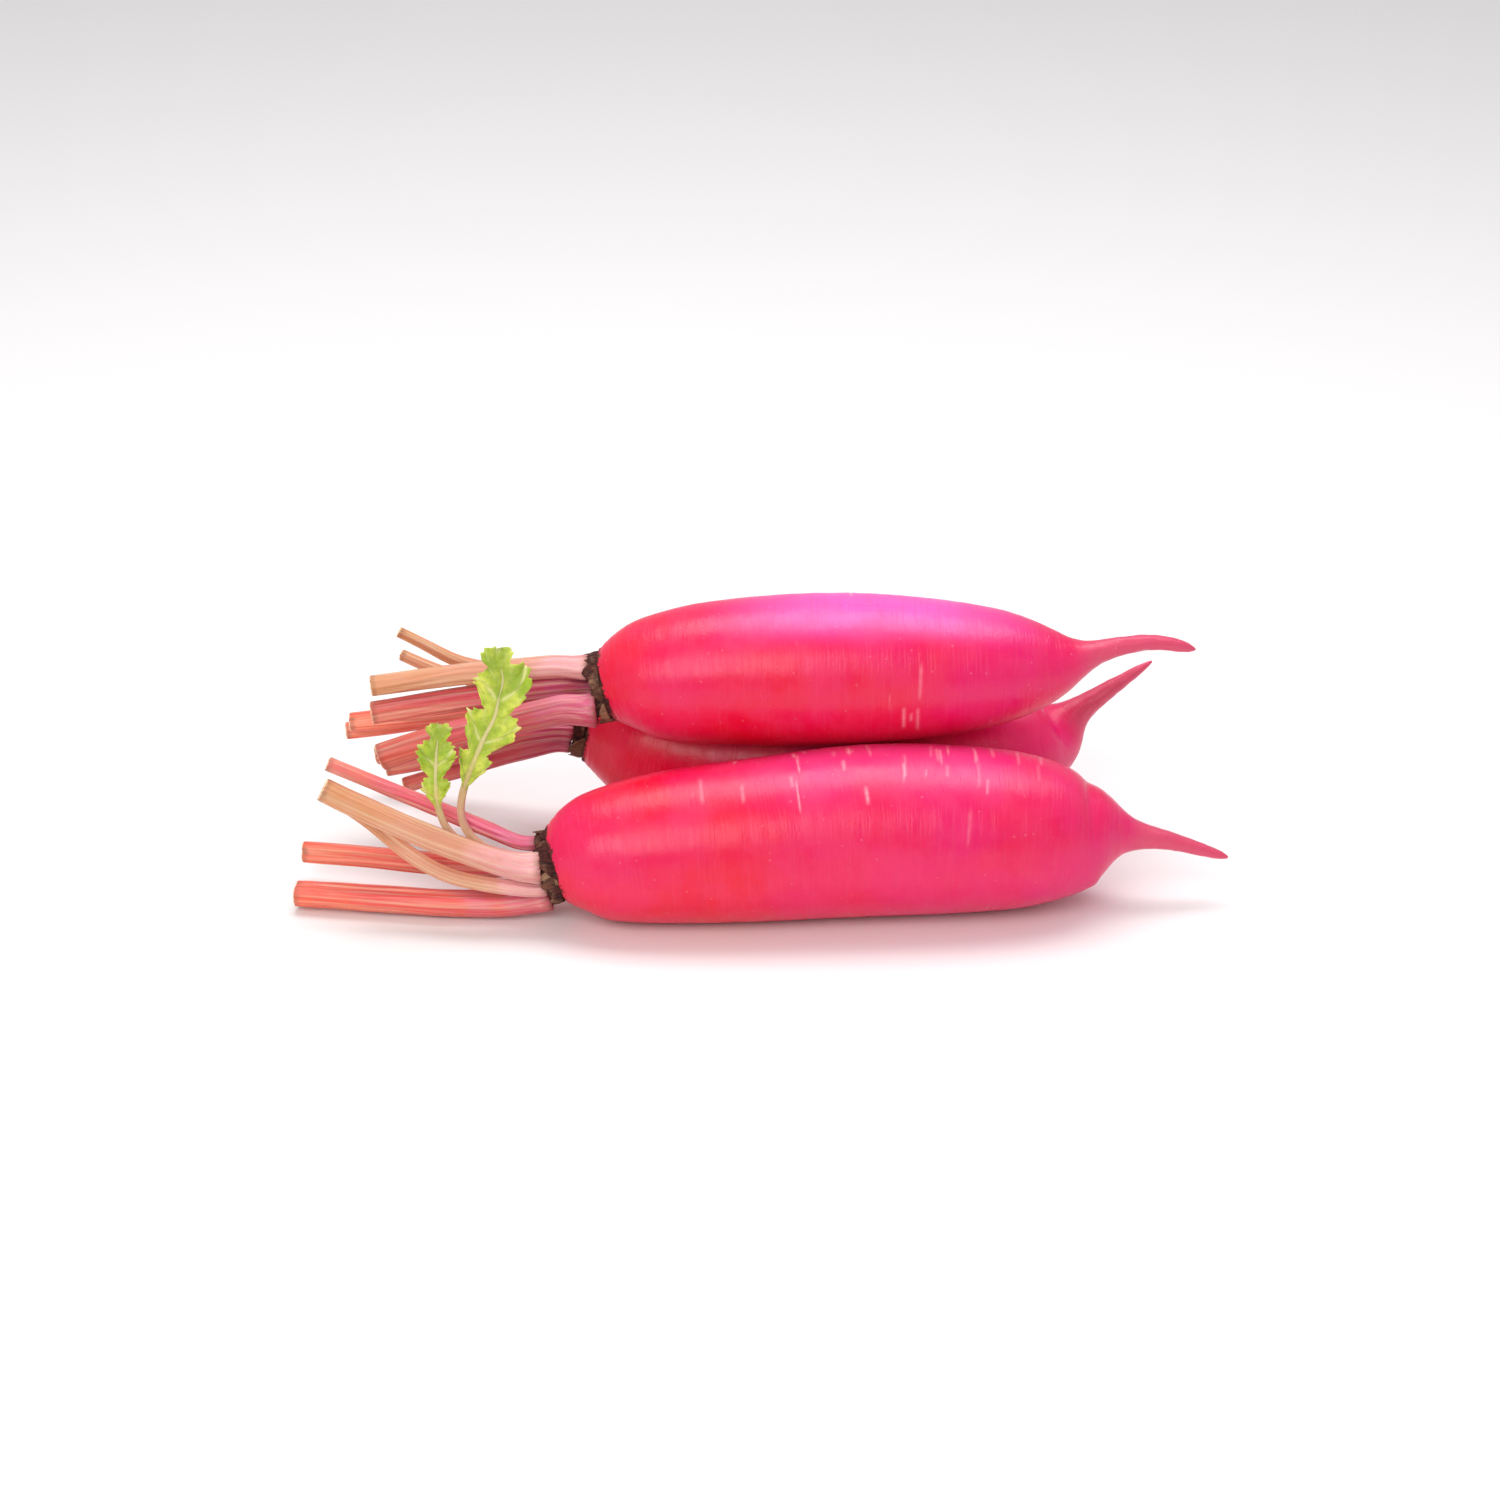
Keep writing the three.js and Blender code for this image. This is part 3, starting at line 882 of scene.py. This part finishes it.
@dataclass(frozen=True)
class StalkSkin:
    """Smooth ribbed skin of a leaf stalk: its colours at the crown, midway and at the cut, and fibres."""

    name: str
    base: Colour
    middle: Colour
    end: Colour
    fibre: Colour
    pith: Colour = tint(240, 214, 176)
    dried: Colour = tint(120, 66, 40)

    def material(self) -> bpy.types.Material:
        """Builds the material.

        Returns:
            The material.
        """
        material, web, skin = new_material(self.name)
        place = web.place()
        straight = web.straight()
        patches = web.blotches(place, 75.0, 0.32, 0.7)
        fibres = web.streaks(straight, 900.0, 14.0, 0.42, 0.66)
        bands = web.streaks(straight, 260.0, 10.0, 0.4, 0.68)
        along = web.plus(web.mask("along"), web.times(web.minus(patches, 0.5), 0.25))
        colour = web.mix(web.remap(along, 0.04, 0.42), self.base, self.middle)
        colour = web.mix(web.remap(along, 0.55, 1.0), colour, self.end)
        colour = web.mix(web.times(bands, 0.55), colour, self.fibre)
        colour = web.mix(web.times(fibres, 0.35), colour, self.pith)
        vessels = web.add("ShaderNodeTexVoronoi", {"Vector": straight, "Scale": 620.0}).outputs["Distance"]
        flesh = web.mix(web.remap(vessels, 0.18, 0.4), self.fibre, self.pith)
        colour = web.mix(web.mask("cut"), colour, flesh)
        clasp = web.remap(web.mask("along"), 0.045, 0.0, 0.0, 0.8)
        rim = web.plus(web.mask("rim"), clasp, clamp=True)
        dried = web.times(rim, web.remap(fibres, 0.0, 1.0, 0.5, 1.0))
        colour = web.mix(dried, colour, self.dried)
        height = web.plus(web.times(bands, 0.6), web.times(fibres, 0.4))
        web.give(skin, {"Base Color": colour, "Roughness": web.remap(patches, 0.0, 1.0, 0.34, 0.5),
                        "Coat Weight": 0.15, "Coat Roughness": 0.3, "Subsurface Weight": 0.18,
                        "Subsurface Radius": (1.0, 0.4, 0.25), "Subsurface Scale": 2 * MM,
                        "Normal": web.bump(height, 0.6)})
        return material


@dataclass(frozen=True)
class LeafSkin:
    """Soft yellow-green blade with paler veins and painted shade in its folds, on a pinkish stalk."""

    name: str
    green: Colour = tint(160, 186, 34)
    yellow: Colour = tint(218, 224, 88)
    # Deep green: random speckles, and also painted shade in the blade's folds and along the midrib.
    deep: Colour = tint(104, 130, 18)
    vein: Colour = tint(226, 224, 150)
    stem: Colour = tint(214, 160, 140)

    def material(self) -> bpy.types.Material:
        """Builds the material.

        Returns:
            The material.
        """
        material, web, skin = new_material(self.name)
        place = web.place()
        straight = web.straight()
        patches = web.blotches(place, 120.0, 0.35, 0.66)
        speckle = web.blotches(place, 620.0, 0.4, 0.7)
        fibres = web.streaks(straight, 1400.0, 40.0, 0.4, 0.66)
        blade = web.mix(patches, self.green, self.yellow)
        blade = web.mix(web.times(speckle, 0.3), blade, self.deep)
        # Painted shade: the deep green darkens the blade where its ruffles dip and near the midrib, and
        # towards its tip.
        blade = web.mix(web.times(web.mask("painted_fold_shade"), 0.4), blade, self.deep)
        veins = web.mask("vein")
        blade = web.mix(web.times(veins, 0.8), blade, self.vein)
        stem = web.mix(web.times(fibres, 0.4), self.stem, self.vein)
        colour = web.mix(web.mask("stem"), blade, stem)
        height = web.plus(web.times(veins, -0.8), web.times(speckle, 0.35))
        web.give(skin, {"Base Color": colour, "Roughness": web.remap(patches, 0.0, 1.0, 0.45, 0.6),
                        "Subsurface Weight": 0.25, "Subsurface Radius": (0.6, 1.0, 0.2),
                        "Subsurface Scale": 1.5 * MM, "Normal": web.bump(height, 0.7)})
        return material


# ---------------------------------------------------------------- the radishes


@dataclass(frozen=True)
class ScarPatch:
    """Where fine pale scars lie across a root: their span along it, the angle about it and their number."""

    start: float
    end: float
    angle: float
    spread: float
    count: int


@dataclass
class Root:
    """One radish: corky crown, long body and thin tail."""

    node: str
    name: str
    seed: int
    patches: tuple[ScarPatch, ...]
    # How strongly the painted highlight lightens the root's upper side.
    painted_highlight_strength: float = 0.0
    sides: int = 48
    ring_gap: float = 2.0 * MM
    neck: float = 3.8 * MM
    swell: float = 0.32 * MM
    tail_radius: float = 4.6 * MM
    scale_count: int = 19
    line: CentreLine | None = field(default=None, init=False)
    crown: float = field(default=0.0, init=False)

    def rings(self) -> list[Ring]:
        """The root's rings, from the middle of its crown to the tip of its tail.

        Returns:
            The rings in order.
        """
        line = self.line
        steps = np.arange(self.neck + 0.8 * MM, line.length - 0.6 * MM, self.ring_gap)
        middles, _, rights, ups = line.at(steps, 6 * MM)
        radii = line.outline(steps, 0, 2.2 * MM).mean(1) * 1.004
        places = np.array([depth * MM for depth, _ in CROWN_FACE])
        made = []
        for k, (middle, _, right, up) in enumerate(zip(*line.at(places, 0.2 * MM))):
            face = np.full(self.sides, CROWN_FACE[k][1] * self.crown)
            made.append(round_ring(middle, right, up, face, float(places[k])))
        for middle, right, up, radius, place in zip(middles, rights, ups, radii, steps):
            made.append(round_ring(middle, right, up, np.full(self.sides, radius), float(place)))
        tip = line.at(np.array([line.length]), 2 * MM)[0]
        last = made[-1]
        points = tip[0] + 0.35 * (last.points - last.points.mean(0))
        made.append(Ring(points, last.straight * (0.35, 0.35, 1)))
        return made

    def build(self) -> Piece:
        """Models the root.

        Returns:
            The finished mesh.
        """
        self.line = CentreLine(self.node, (1, 0, 0), (0, 1, 0), 2.4 * MM, 45 * MM)
        self.crown = float(self.line.outline(np.array([1.8 * MM]), 0, 0.2 * MM).mean())
        piece = loft(self.name, self.rings())
        subdivide(piece, 2)
        self.shape_skin(piece)
        self.add_scales(piece)
        return piece

    def shape_skin(self, piece: Piece) -> None:
        """Gives the skin its swellings, its scars and its rough crown, and stores where they are, with a
        painted highlight along its upper side.

        Args:
            piece: the subdivided root.
        """
        draw = random.Random(self.seed)
        straight = read_straight(piece)
        place = straight[:, 2]
        radius = np.hypot(straight[:, 0], straight[:, 1])
        angle = np.arctan2(straight[:, 1], straight[:, 0])
        body = smooth_step(4 * MM, 14 * MM, place) * smooth_step(3 * MM, 12 * MM, radius)
        height = self.swell * body * ripple(straight, 34 * MM, self.seed)
        height += 0.1 * MM * body * ripple(straight * (1, 1, 2.6), 9 * MM, self.seed + 1)
        scar = np.zeros(len(place))
        length = self.line.length
        for patch in self.patches:
            for _ in range(patch.count):
                at = draw.uniform(patch.start, patch.end)
                turn = math.radians(patch.angle + draw.gauss(0, patch.spread))
                half = draw.uniform(1.5, 7.0) * MM
                width = draw.uniform(0.22, 0.5) * MM
                deep = draw.uniform(0.06, 0.2) * MM
                tilt = draw.uniform(-0.06, 0.06)
                round_way = ((angle - turn + math.pi) % (2 * math.pi) - math.pi) * np.maximum(radius, MM)
                along = place - at * length - tilt * round_way
                fade = smooth_step(1, 0.55, np.abs(round_way) / half)
                shape = np.exp(-((along / width) ** 2)) * fade
                height -= deep * shape
                lips = np.exp(-(((np.abs(along) - 2.0 * width) / width) ** 2)) * fade
                height += 0.3 * deep * lips
                scar = np.maximum(scar, draw.uniform(0.2, 0.85) * shape)
        near_crown = 1 - smooth_step(self.neck + 1.5 * MM, self.neck + 7 * MM, place)
        folds = np.sin(place / MM * 3.1 + 1.2 * ripple(straight, 5 * MM, self.seed + 2))
        height += 0.08 * MM * near_crown * folds
        rough = 1 - smooth_step(self.neck, self.neck + 2.0 * MM, place)
        layers = np.sin(2 * math.pi * (place / (1.35 * MM) + 0.9 * ripple(straight, 9 * MM, self.seed + 3)))
        height += 0.3 * MM * rough * layers
        height += 0.16 * MM * rough * ripple(straight * (1, 1, 1.6), 2.2 * MM, self.seed + 4)
        tail = 1 - smooth_step(0.75 * self.tail_radius, 1.7 * self.tail_radius, radius)
        tail *= smooth_step(0.5 * length, 0.6 * length, place)
        height += 0.16 * MM * tail * ripple(straight * (1, 1, 0.5), 1.6 * MM, self.seed + 5)
        raise_by(piece, height)
        points = points_of(piece)
        points[:, 2] = np.maximum(points[:, 2], 0)
        place_points(piece, points)
        ragged = 0.9 * MM * ripple(straight, 3 * MM, self.seed + 6)
        write_mask(piece, "cork", 1 - smooth_step(self.neck - 0.6 * MM, self.neck + 2.2 * MM, place + ragged))
        write_mask(piece, "scar", scar)
        write_mask(piece, "dry", np.zeros(len(place)))
        share = place / length
        write_mask(piece, "along", np.clip(share, 0, 1))
        write_mask(piece, "tail", 0.85 * tail)
        # Painted highlight: a band along the upper side of the root's middle, where the overhead light falls.
        upward = np.cos(angle - math.radians(80))
        top = smooth_step(0.45, 1.0, upward + 0.08 * ripple(straight, 20 * MM, self.seed + 7))
        middle_part = smooth_step(0.14, 0.42, share) * (1 - smooth_step(0.52, 0.8, share))
        write_mask(piece, "painted_highlight", self.painted_highlight_strength * top * middle_part)

    def add_scales(self, piece: Piece) -> None:
        """Adds the dry brown scales that old leaves left round the crown.

        Args:
            piece: the root, which the scales are joined to.
        """
        draw = random.Random(self.seed + 50)
        middle, along, right, up = (value[0] for value in self.line.at(np.array([1.5 * MM]), 0.3 * MM))
        scales = []
        for k in range(self.scale_count):
            turn = 2 * math.pi * (k + draw.uniform(-0.3, 0.3)) / self.scale_count
            width = draw.uniform(2.6, 4.8) * MM / self.crown
            low, high = draw.uniform(1.8, 3.6) * MM, draw.uniform(0.4, 3.4) * MM
            lean, skew = draw.uniform(-0.04, 0.16), draw.uniform(-0.12, 0.12)
            scale = begin(bpy.ops.mesh.primitive_grid_add, x_subdivisions=7, y_subdivisions=5, size=1)
            points = points_of(scale)
            across, rise = points[:, 0] * 2, points[:, 1] + 0.5
            edge = 1 - 0.5 * np.abs(across) ** 2.2 + 0.16 * ripple(points * (5, 0, 0) + k, 1.0, self.seed)
            bent = turn + width * across * (1 - 0.4 * rise**2) + skew * rise
            out = self.crown * 1.02 + (0.35 + 0.14 * (k % 3)) * MM + lean * (low + high) * rise
            out = out + 0.25 * MM * ripple(points * 3 + k, 1.0, self.seed)
            depth = low - (low + high) * rise * edge
            around = np.cos(bent)[:, None] * right + np.sin(bent)[:, None] * up
            place_points(scale, middle + out[:, None] * around + (depth - 0.2 * MM)[:, None] * along)
            write_straight(scale, np.stack([out * np.cos(bent), out * np.sin(bent), depth], 1))
            apply_modifier(scale, "SOLIDIFY", thickness=draw.uniform(0.3, 0.5) * MM, offset=0)
            subdivide(scale, 1)
            count = len(scale.data.vertices)
            write_mask(scale, "cork", np.ones(count))
            write_mask(scale, "dry", np.full(count, draw.choice((0.0, 0.0, 0.15, 0.4, 0.75))))
            face_outwards(scale)
            scales.append(scale)
        join(*scales, piece)

    def dress(self, piece: Piece, material: bpy.types.Material) -> None:
        """Gives the root its skin and puts it on the frame."""
        finish_piece(piece, self.node, material)


class StalkTone(Enum):
    """The colourings of the leaf stalks, by the record's material slots."""

    CORAL = "stalk_coral"
    ROSE = "stalk_rose"
    TAN = "stalk_tan"


@dataclass
class Stalk:
    """One leaf stalk, cut short: ribbed, grooved along the inside and flared where it clasps the crown."""

    node: str
    tone: StalkTone
    seed: int
    sides: int = 40
    ribs: int = 11
    rib_height: float = 0.13 * MM
    flare: float = 0.16
    flare_reach: float = 7 * MM
    length: float = field(default=0.0, init=False)

    def build(self) -> Piece:
        """Models the stalk.

        Returns:
            The finished mesh.
        """
        line = CentreLine(self.node, (-1, 0, 0), (0, 1, 0), 1.8 * MM, 14 * MM)
        self.length = line.length
        steps = np.concatenate([np.linspace(0, line.length - 1.2 * MM, 34), [line.length - 0.5 * MM]])
        outlines = line.outline(steps, 5, 2.0 * MM)
        made = []
        for k, (middle, _, right, up) in enumerate(zip(*line.at(steps, 3 * MM))):
            place = float(steps[k])
            clasp = 1 + self.flare * (1 - min(1.0, place / self.flare_reach)) ** 2
            radii = resampled(outlines[k], self.sides) * clasp
            made.append(round_ring(middle, right, up, radii, place))
        foot = made[0]
        centre = foot.points.mean(0)
        hidden = Ring(centre + 0.7 * (foot.points - centre), foot.straight * (0.7, 0.7, 1))
        end, along = line.at(np.array([line.length]), 0.5 * MM)[:2]
        last = made[-1]
        middle = last.points.mean(0)
        for share, depth in ((0.95, 0.02), (0.86, -0.02), (0.6, -0.25), (0.25, -0.45)):
            points = end[0] + share * (last.points - middle) + depth * MM * along[0]
            made.append(Ring(points, last.straight * (share, share, 1) + (0, 0, 0.5 * MM)))
        piece = loft(self.node.replace("stalk", "leafstalk"), [hidden, *made])
        subdivide(piece, 1)
        self.shape_skin(piece)
        return piece

    def shape_skin(self, piece: Piece) -> None:
        """Gives the stalk its ribs and small bends, and stores where its cut end is.

        Args:
            piece: the subdivided stalk.
        """
        straight = read_straight(piece)
        place = straight[:, 2]
        angle = np.arctan2(straight[:, 1], straight[:, 0])
        radius = np.hypot(straight[:, 0], straight[:, 1])
        cut = smooth_step(self.length - 0.55 * MM, self.length - 0.1 * MM, place)
        wander = 0.5 * ripple(straight * (0.5, 0.5, 1), 22 * MM, self.seed)
        ribs = np.cos(self.ribs * (angle + wander))
        height = self.rib_height * ribs * (1 - cut) * np.minimum(1, radius / (2 * MM))
        height += 0.28 * MM * (1 - cut) * ripple(straight * (1, 1, 0.35), 6 * MM, self.seed + 1)
        height += 0.12 * MM * cut * ripple(straight, 0.9 * MM, self.seed + 2)
        raise_by(piece, height)
        write_mask(piece, "along", np.clip(place / self.length, 0, 1))
        write_mask(piece, "cut", cut)
        ragged = 0.8 * MM * ripple(straight, 1.5 * MM, self.seed + 3)
        rim = smooth_step(self.length - 2.6 * MM, self.length - 0.6 * MM, place + ragged) * (1 - cut)
        write_mask(piece, "rim", 0.55 * rim)

    def dress(self, piece: Piece, material: bpy.types.Material) -> None:
        """Gives the stalk its skin and puts it on the frame."""
        finish_piece(piece, self.node, material)


@dataclass
class YoungLeaf:
    """One young leaf: a thin stalk that runs on as the midrib of a lobed, crinkled blade."""

    node: str
    name: str
    seed: int
    blade_from: float
    half_width: float
    lobes: float
    thickness: float = 0.5 * MM
    steps: int = 150
    strips: int = 26
    line: Line | None = field(default=None, init=False)

    def build(self) -> Piece:
        """Models the leaf's stalk and midrib, then its blade, and joins them.

        Returns:
            The finished mesh.
        """
        self.line = leaf_line(self.node, (-1, 0, 0.15), 0.8 * MM, 12 * MM)
        rib = self.build_rib()
        return join(self.build_blade(), rib)

    def directions(self, steps: Array) -> Frame:
        """The leaf's line with the direction across its blade and the way its face looks.

        Args:
            steps: distances from the crown.

        Returns:
            Middles, along directions, across directions and face directions.
        """
        middles, alongs = self.line.points(steps, 5 * MM)
        facing = np.array([0.0, -1.0, 0.22])
        faces = facing - alongs * (alongs @ facing)[:, None]
        faces /= np.linalg.norm(faces, axis=1, keepdims=True)
        return middles, alongs, np.cross(alongs, faces), faces

    def build_rib(self) -> Piece:
        """The stalk and midrib.

        Returns:
            A tapered round bar with the leaf's masks.
        """
        length = self.line.length
        steps = np.linspace(0, 0.93 * length, 60)
        middles, _, across, faces = self.directions(steps)
        made = []
        for k, step in enumerate(steps):
            share = step / length
            radius = 1.55 * MM * (1 - 0.42 * share) * (1 - 0.75 * max(0.0, share - self.blade_from))
            flare = 1 + 0.35 * (1 - min(1.0, step / (5 * MM))) ** 2
            radii = np.full(16, max(radius * flare, 0.3 * MM))
            made.append(round_ring(middles[k], across[k], 0.85 * faces[k], radii, float(step)))
        rib = loft(self.name, made)
        subdivide(rib, 1)
        straight = read_straight(rib)
        height = 0.12 * MM * ripple(straight * (1, 1, 0.4), 2.5 * MM, self.seed)
        raise_by(rib, height)
        share = straight[:, 2] / length
        write_mask(rib, "stem", 1 - 0.75 * smooth_step(self.blade_from - 0.12, self.blade_from + 0.16, share))
        write_mask(rib, "vein", smooth_step(self.blade_from, self.blade_from + 0.2, share))
        write_mask(rib, "painted_fold_shade", np.zeros(len(share)))
        return rib

    def outline(self, share: Array) -> Array:
        """Half the blade's width.

        Args:
            share: shares of the blade's length, from its foot to its tip.

        Returns:
            The half width at each.
        """
        envelope = np.sin(np.pi * (0.07 + 0.79 * share) ** 1.1) ** 0.6
        tip = np.sqrt(np.clip(0.02 + 8 * (1 - share), 0, 1))
        lobes = np.abs(np.sin(np.pi * (self.lobes + 0.5) * share**0.9)) ** 0.75
        teeth = 1 + 0.07 * np.sin(2 * np.pi * 17 * share) + 0.04 * np.sin(2 * np.pi * 31 * share + 1)
        width = self.half_width * envelope * tip * (0.36 + 0.64 * lobes) * teeth
        return width * np.minimum(1, 5 * share + 0.1)

    def build_blade(self) -> Piece:
        """The blade, with lobes that lean towards its tip, ruffled edges and pleats between its veins.

        Returns:
            A thin closed sheet with the leaf's masks.
        """
        length = self.line.length
        grid = bpy.ops.mesh.primitive_grid_add
        blade = begin(grid, x_subdivisions=self.steps, y_subdivisions=self.strips, size=2)
        flat = points_of(blade)
        share, across = (flat[:, 0] + 1) / 2, flat[:, 1]
        place = (self.blade_from - 0.02 + (1.02 - self.blade_from) * share) * length
        span = length * (1 - self.blade_from)
        lean = 0.13 * span * np.abs(across) ** 1.6 * self.outline(share) / self.half_width
        place = np.minimum(place + lean, length)
        middles, alongs, sides, faces = self.directions(place)
        half = self.outline(share)
        side = np.sign(across)
        ruffle = np.abs(across) ** 2.2 * np.sin(2 * np.pi * 4.3 * share + side * 1.3 + self.seed)
        ruffle += 0.5 * np.abs(across) ** 3 * np.sin(2 * np.pi * 9.1 * share - side * 0.7)
        lobe_turn = np.pi * (self.lobes + 0.5) * share**0.9
        vein_turn = (lobe_turn - 0.9 * np.abs(across) + 0.35) % np.pi
        vein = np.exp(-(((vein_turn - np.pi / 2) / 0.17) ** 2)) * smooth_step(0.02, 0.2, np.abs(across))
        minor = np.exp(-((((vein_turn * 3.0) % np.pi - np.pi / 2) / 0.3) ** 2)) * 0.4
        pleat = 0.35 * MM * (1 - vein) * smooth_step(0.05, 0.4, np.abs(across))
        lift = 1.25 * MM * ruffle * half / self.half_width * 1.2 + pleat
        crinkle = ripple(flat * (6, 1.5, 1), 1.0, self.seed + 4)
        lift += 0.5 * MM * crinkle * smooth_step(0.1, 0.5, np.abs(across))
        lift += 0.9 * MM * np.abs(across) ** 1.6 * half / self.half_width
        place_points(blade, middles + sides * (across * half)[:, None] + faces * lift[:, None])
        write_straight(blade, np.stack([across * half, lift, place], 1))
        write_mask(blade, "vein", np.clip(vein + minor * np.abs(across), 0, 1))
        write_mask(blade, "stem", np.zeros(len(share)))
        # Painted shade: high where the ruffle dips and near the midrib; also higher towards the tip.
        painted_fold_shade = 0.4 - 0.8 * ruffle - 0.6 * np.abs(across) + 0.9 * smooth_step(0.6, 0.85, share)
        write_mask(blade, "painted_fold_shade", np.clip(painted_fold_shade, 0, 1))
        apply_modifier(blade, "SOLIDIFY", thickness=self.thickness, offset=-1)
        face_outwards(blade)
        subdivide(blade, 1)
        return blade

    def dress(self, piece: Piece, material: bpy.types.Material) -> None:
        """Gives the leaf its skin and puts it on the frame."""
        finish_piece(piece, self.node, material)


# ---------------------------------------------------------------- the studio


@dataclass
class Studio:
    """A pale floor, soft lights and the camera."""

    target: tuple[float, float, float] = (-0.0035, 0.0, 0.0418)
    elevation: float = 25.0
    distance: float = 1.7
    width_seen: float = 0.48
    sensor: float = 36.0
    floor_size: float = 14.0
    floor_colour: Colour = tint(245, 244, 243)
    floor_shade: Colour = tint(232, 231, 230)
    sky: float = 0.52

    def floor(self) -> None:
        """A wide pale floor."""
        floor = begin(bpy.ops.mesh.primitive_plane_add, size=self.floor_size)
        floor.name = "floor"
        material, web, paint = new_material("pale floor")
        place = web.place()
        grain = web.noise(place, 3.0, 2.0)
        shade = web.mix(web.times(grain, 0.12), self.floor_colour, self.floor_shade)
        web.give(paint, {"Base Color": shade, "Roughness": 0.6})
        floor.data.materials.append(material)

    def light(
        self, name: str, place: Sequence[float], size: Sequence[float], power: float, colour: Colour
    ) -> None:
        """A soft light that points at the bunch.

        Args:
            name: the light's name.
            place: where it hangs.
            size: its width and depth.
            power: its power in watts.
            colour: its colour.
        """
        lamp = begin(bpy.ops.object.light_add, type="AREA", location=place)
        lamp.name = name
        lamp.rotation_euler = (Vector(self.target) - Vector(place)).to_track_quat("-Z", "Y").to_euler()
        lamp.data.shape = "RECTANGLE"
        lamp.data.size, lamp.data.size_y = size
        lamp.data.energy = power
        lamp.data.color = colour

    def lights(self) -> None:
        """A broad light overhead, a softer one in front, and an even pale sky."""
        self.light("overhead light", (0.05, 0.22, 0.95), (1.1, 0.5), 7.2, (1.0, 0.97, 1.0))
        self.light("front light", (-0.4, -1.0, 0.8), (0.9, 0.7), 8.0, (1.0, 1.0, 1.0))
        world = bpy.context.scene.world or bpy.data.worlds.new("pale sky")
        bpy.context.scene.world = world
        world.use_nodes = True
        sky = world.node_tree.nodes["Background"]
        sky.inputs["Color"].default_value = (1.0, 1.0, 1.0, 1.0)
        sky.inputs["Strength"].default_value = self.sky

    def camera(self) -> None:
        """A long lens that looks at the bunch from the front and a little above."""
        height = math.radians(self.elevation)
        target = Vector(self.target)
        place = target + self.distance * Vector((0, -math.cos(height), math.sin(height)))
        turn = (math.pi / 2 - height, 0, 0)
        camera = begin(bpy.ops.object.camera_add, location=place, rotation=turn)
        camera.data.sensor_width = self.sensor
        camera.data.lens = self.sensor * self.distance / self.width_seen
        camera.data.clip_end = 30
        bpy.context.scene.camera = camera
        bpy.context.scene.view_settings.view_transform = "Standard"


# Each root's first keyword sets the strength of the painted highlight on its upper side.
ROOTS = (
    Root("root_front", "front_radish", 11, painted_highlight_strength=0.3, patches=(
        ScarPatch(0.36, 0.71, 100, 20, 34), ScarPatch(0.3, 0.78, 290, 24, 14),
        ScarPatch(0.2, 0.36, 120, 30, 4))),
    Root("root_back", "back_radish", 23, painted_highlight_strength=0.2, patches=(
        ScarPatch(0.3, 0.75, 60, 24, 22), ScarPatch(0.3, 0.78, 230, 20, 12))),
    Root("root_top", "top_radish", 37, painted_highlight_strength=1.0, patches=(
        ScarPatch(0.48, 0.55, 190, 10, 5), ScarPatch(0.25, 0.75, 20, 22, 18))),
)

STALKS = (
    Stalk("front_stalk_top", StalkTone.ROSE, 101), Stalk("front_stalk_near", StalkTone.TAN, 102),
    Stalk("front_stalk_inner", StalkTone.TAN, 103), Stalk("front_stalk_low", StalkTone.CORAL, 104),
    Stalk("front_stalk_far", StalkTone.CORAL, 105), Stalk("back_stalk_low", StalkTone.ROSE, 106),
    Stalk("back_stalk_near", StalkTone.ROSE, 107), Stalk("back_stalk_top", StalkTone.CORAL, 108),
    Stalk("back_stalk_high", StalkTone.TAN, 109), Stalk("back_stalk_far", StalkTone.ROSE, 110),
    Stalk("top_stalk_upper", StalkTone.TAN, 111), Stalk("top_stalk_near", StalkTone.ROSE, 112),
    Stalk("top_stalk_middle", StalkTone.ROSE, 113), Stalk("top_stalk_high", StalkTone.TAN, 114),
    Stalk("top_stalk_far", StalkTone.CORAL, 115),
)

LEAVES = (
    YoungLeaf("young_leaf_small", "small_young_leaf", 3, 0.6, 6.2 * MM, 2),
    YoungLeaf("young_leaf_large", "large_young_leaf", 8, 0.46, 9.2 * MM, 3),
)


# The violet-pink colour is a painted highlight for the roots' upper sides.
ROOT_SKIN = RootSkin("radish skin", crimson=tint(228, 6, 44), magenta=tint(226, 14, 104),
                     blush=tint(240, 72, 116), painted_highlight=tint(236, 92, 190), tail=tint(214, 78, 108))

STALK_SKINS = {
    StalkTone.CORAL: StalkSkin("coral stalk skin", base=tint(224, 96, 120), middle=tint(236, 88, 78),
                               end=tint(242, 100, 70), fibre=tint(206, 52, 62)),
    StalkTone.ROSE: StalkSkin("rose stalk skin", base=tint(214, 92, 132), middle=tint(220, 86, 102),
                              end=tint(226, 108, 92), fibre=tint(176, 42, 70)),
    StalkTone.TAN: StalkSkin("tan stalk skin", base=tint(234, 164, 168), middle=tint(212, 144, 110),
                             end=tint(206, 134, 82), fibre=tint(186, 92, 70)),
}

LEAF_SKIN = LeafSkin("young leaf skin")


def main() -> None:
    """Builds and dresses every piece, then sets the studio."""
    logging.basicConfig(level=logging.INFO, format="%(name)s: %(message)s")
    build_blotches()
    build_streaks()
    red, green = ROOT_SKIN.material(), LEAF_SKIN.material()
    stalk_skins = {tone: skin.material() for tone, skin in STALK_SKINS.items()}
    for root in ROOTS:
        root.dress(root.build(), red)
    for stalk in STALKS:
        stalk.dress(stalk.build(), stalk_skins[stalk.tone])
    for leaf in LEAVES:
        leaf.dress(leaf.build(), green)
    studio = Studio()
    studio.floor()
    studio.lights()
    studio.camera()


if __name__ == "__main__":
    main()
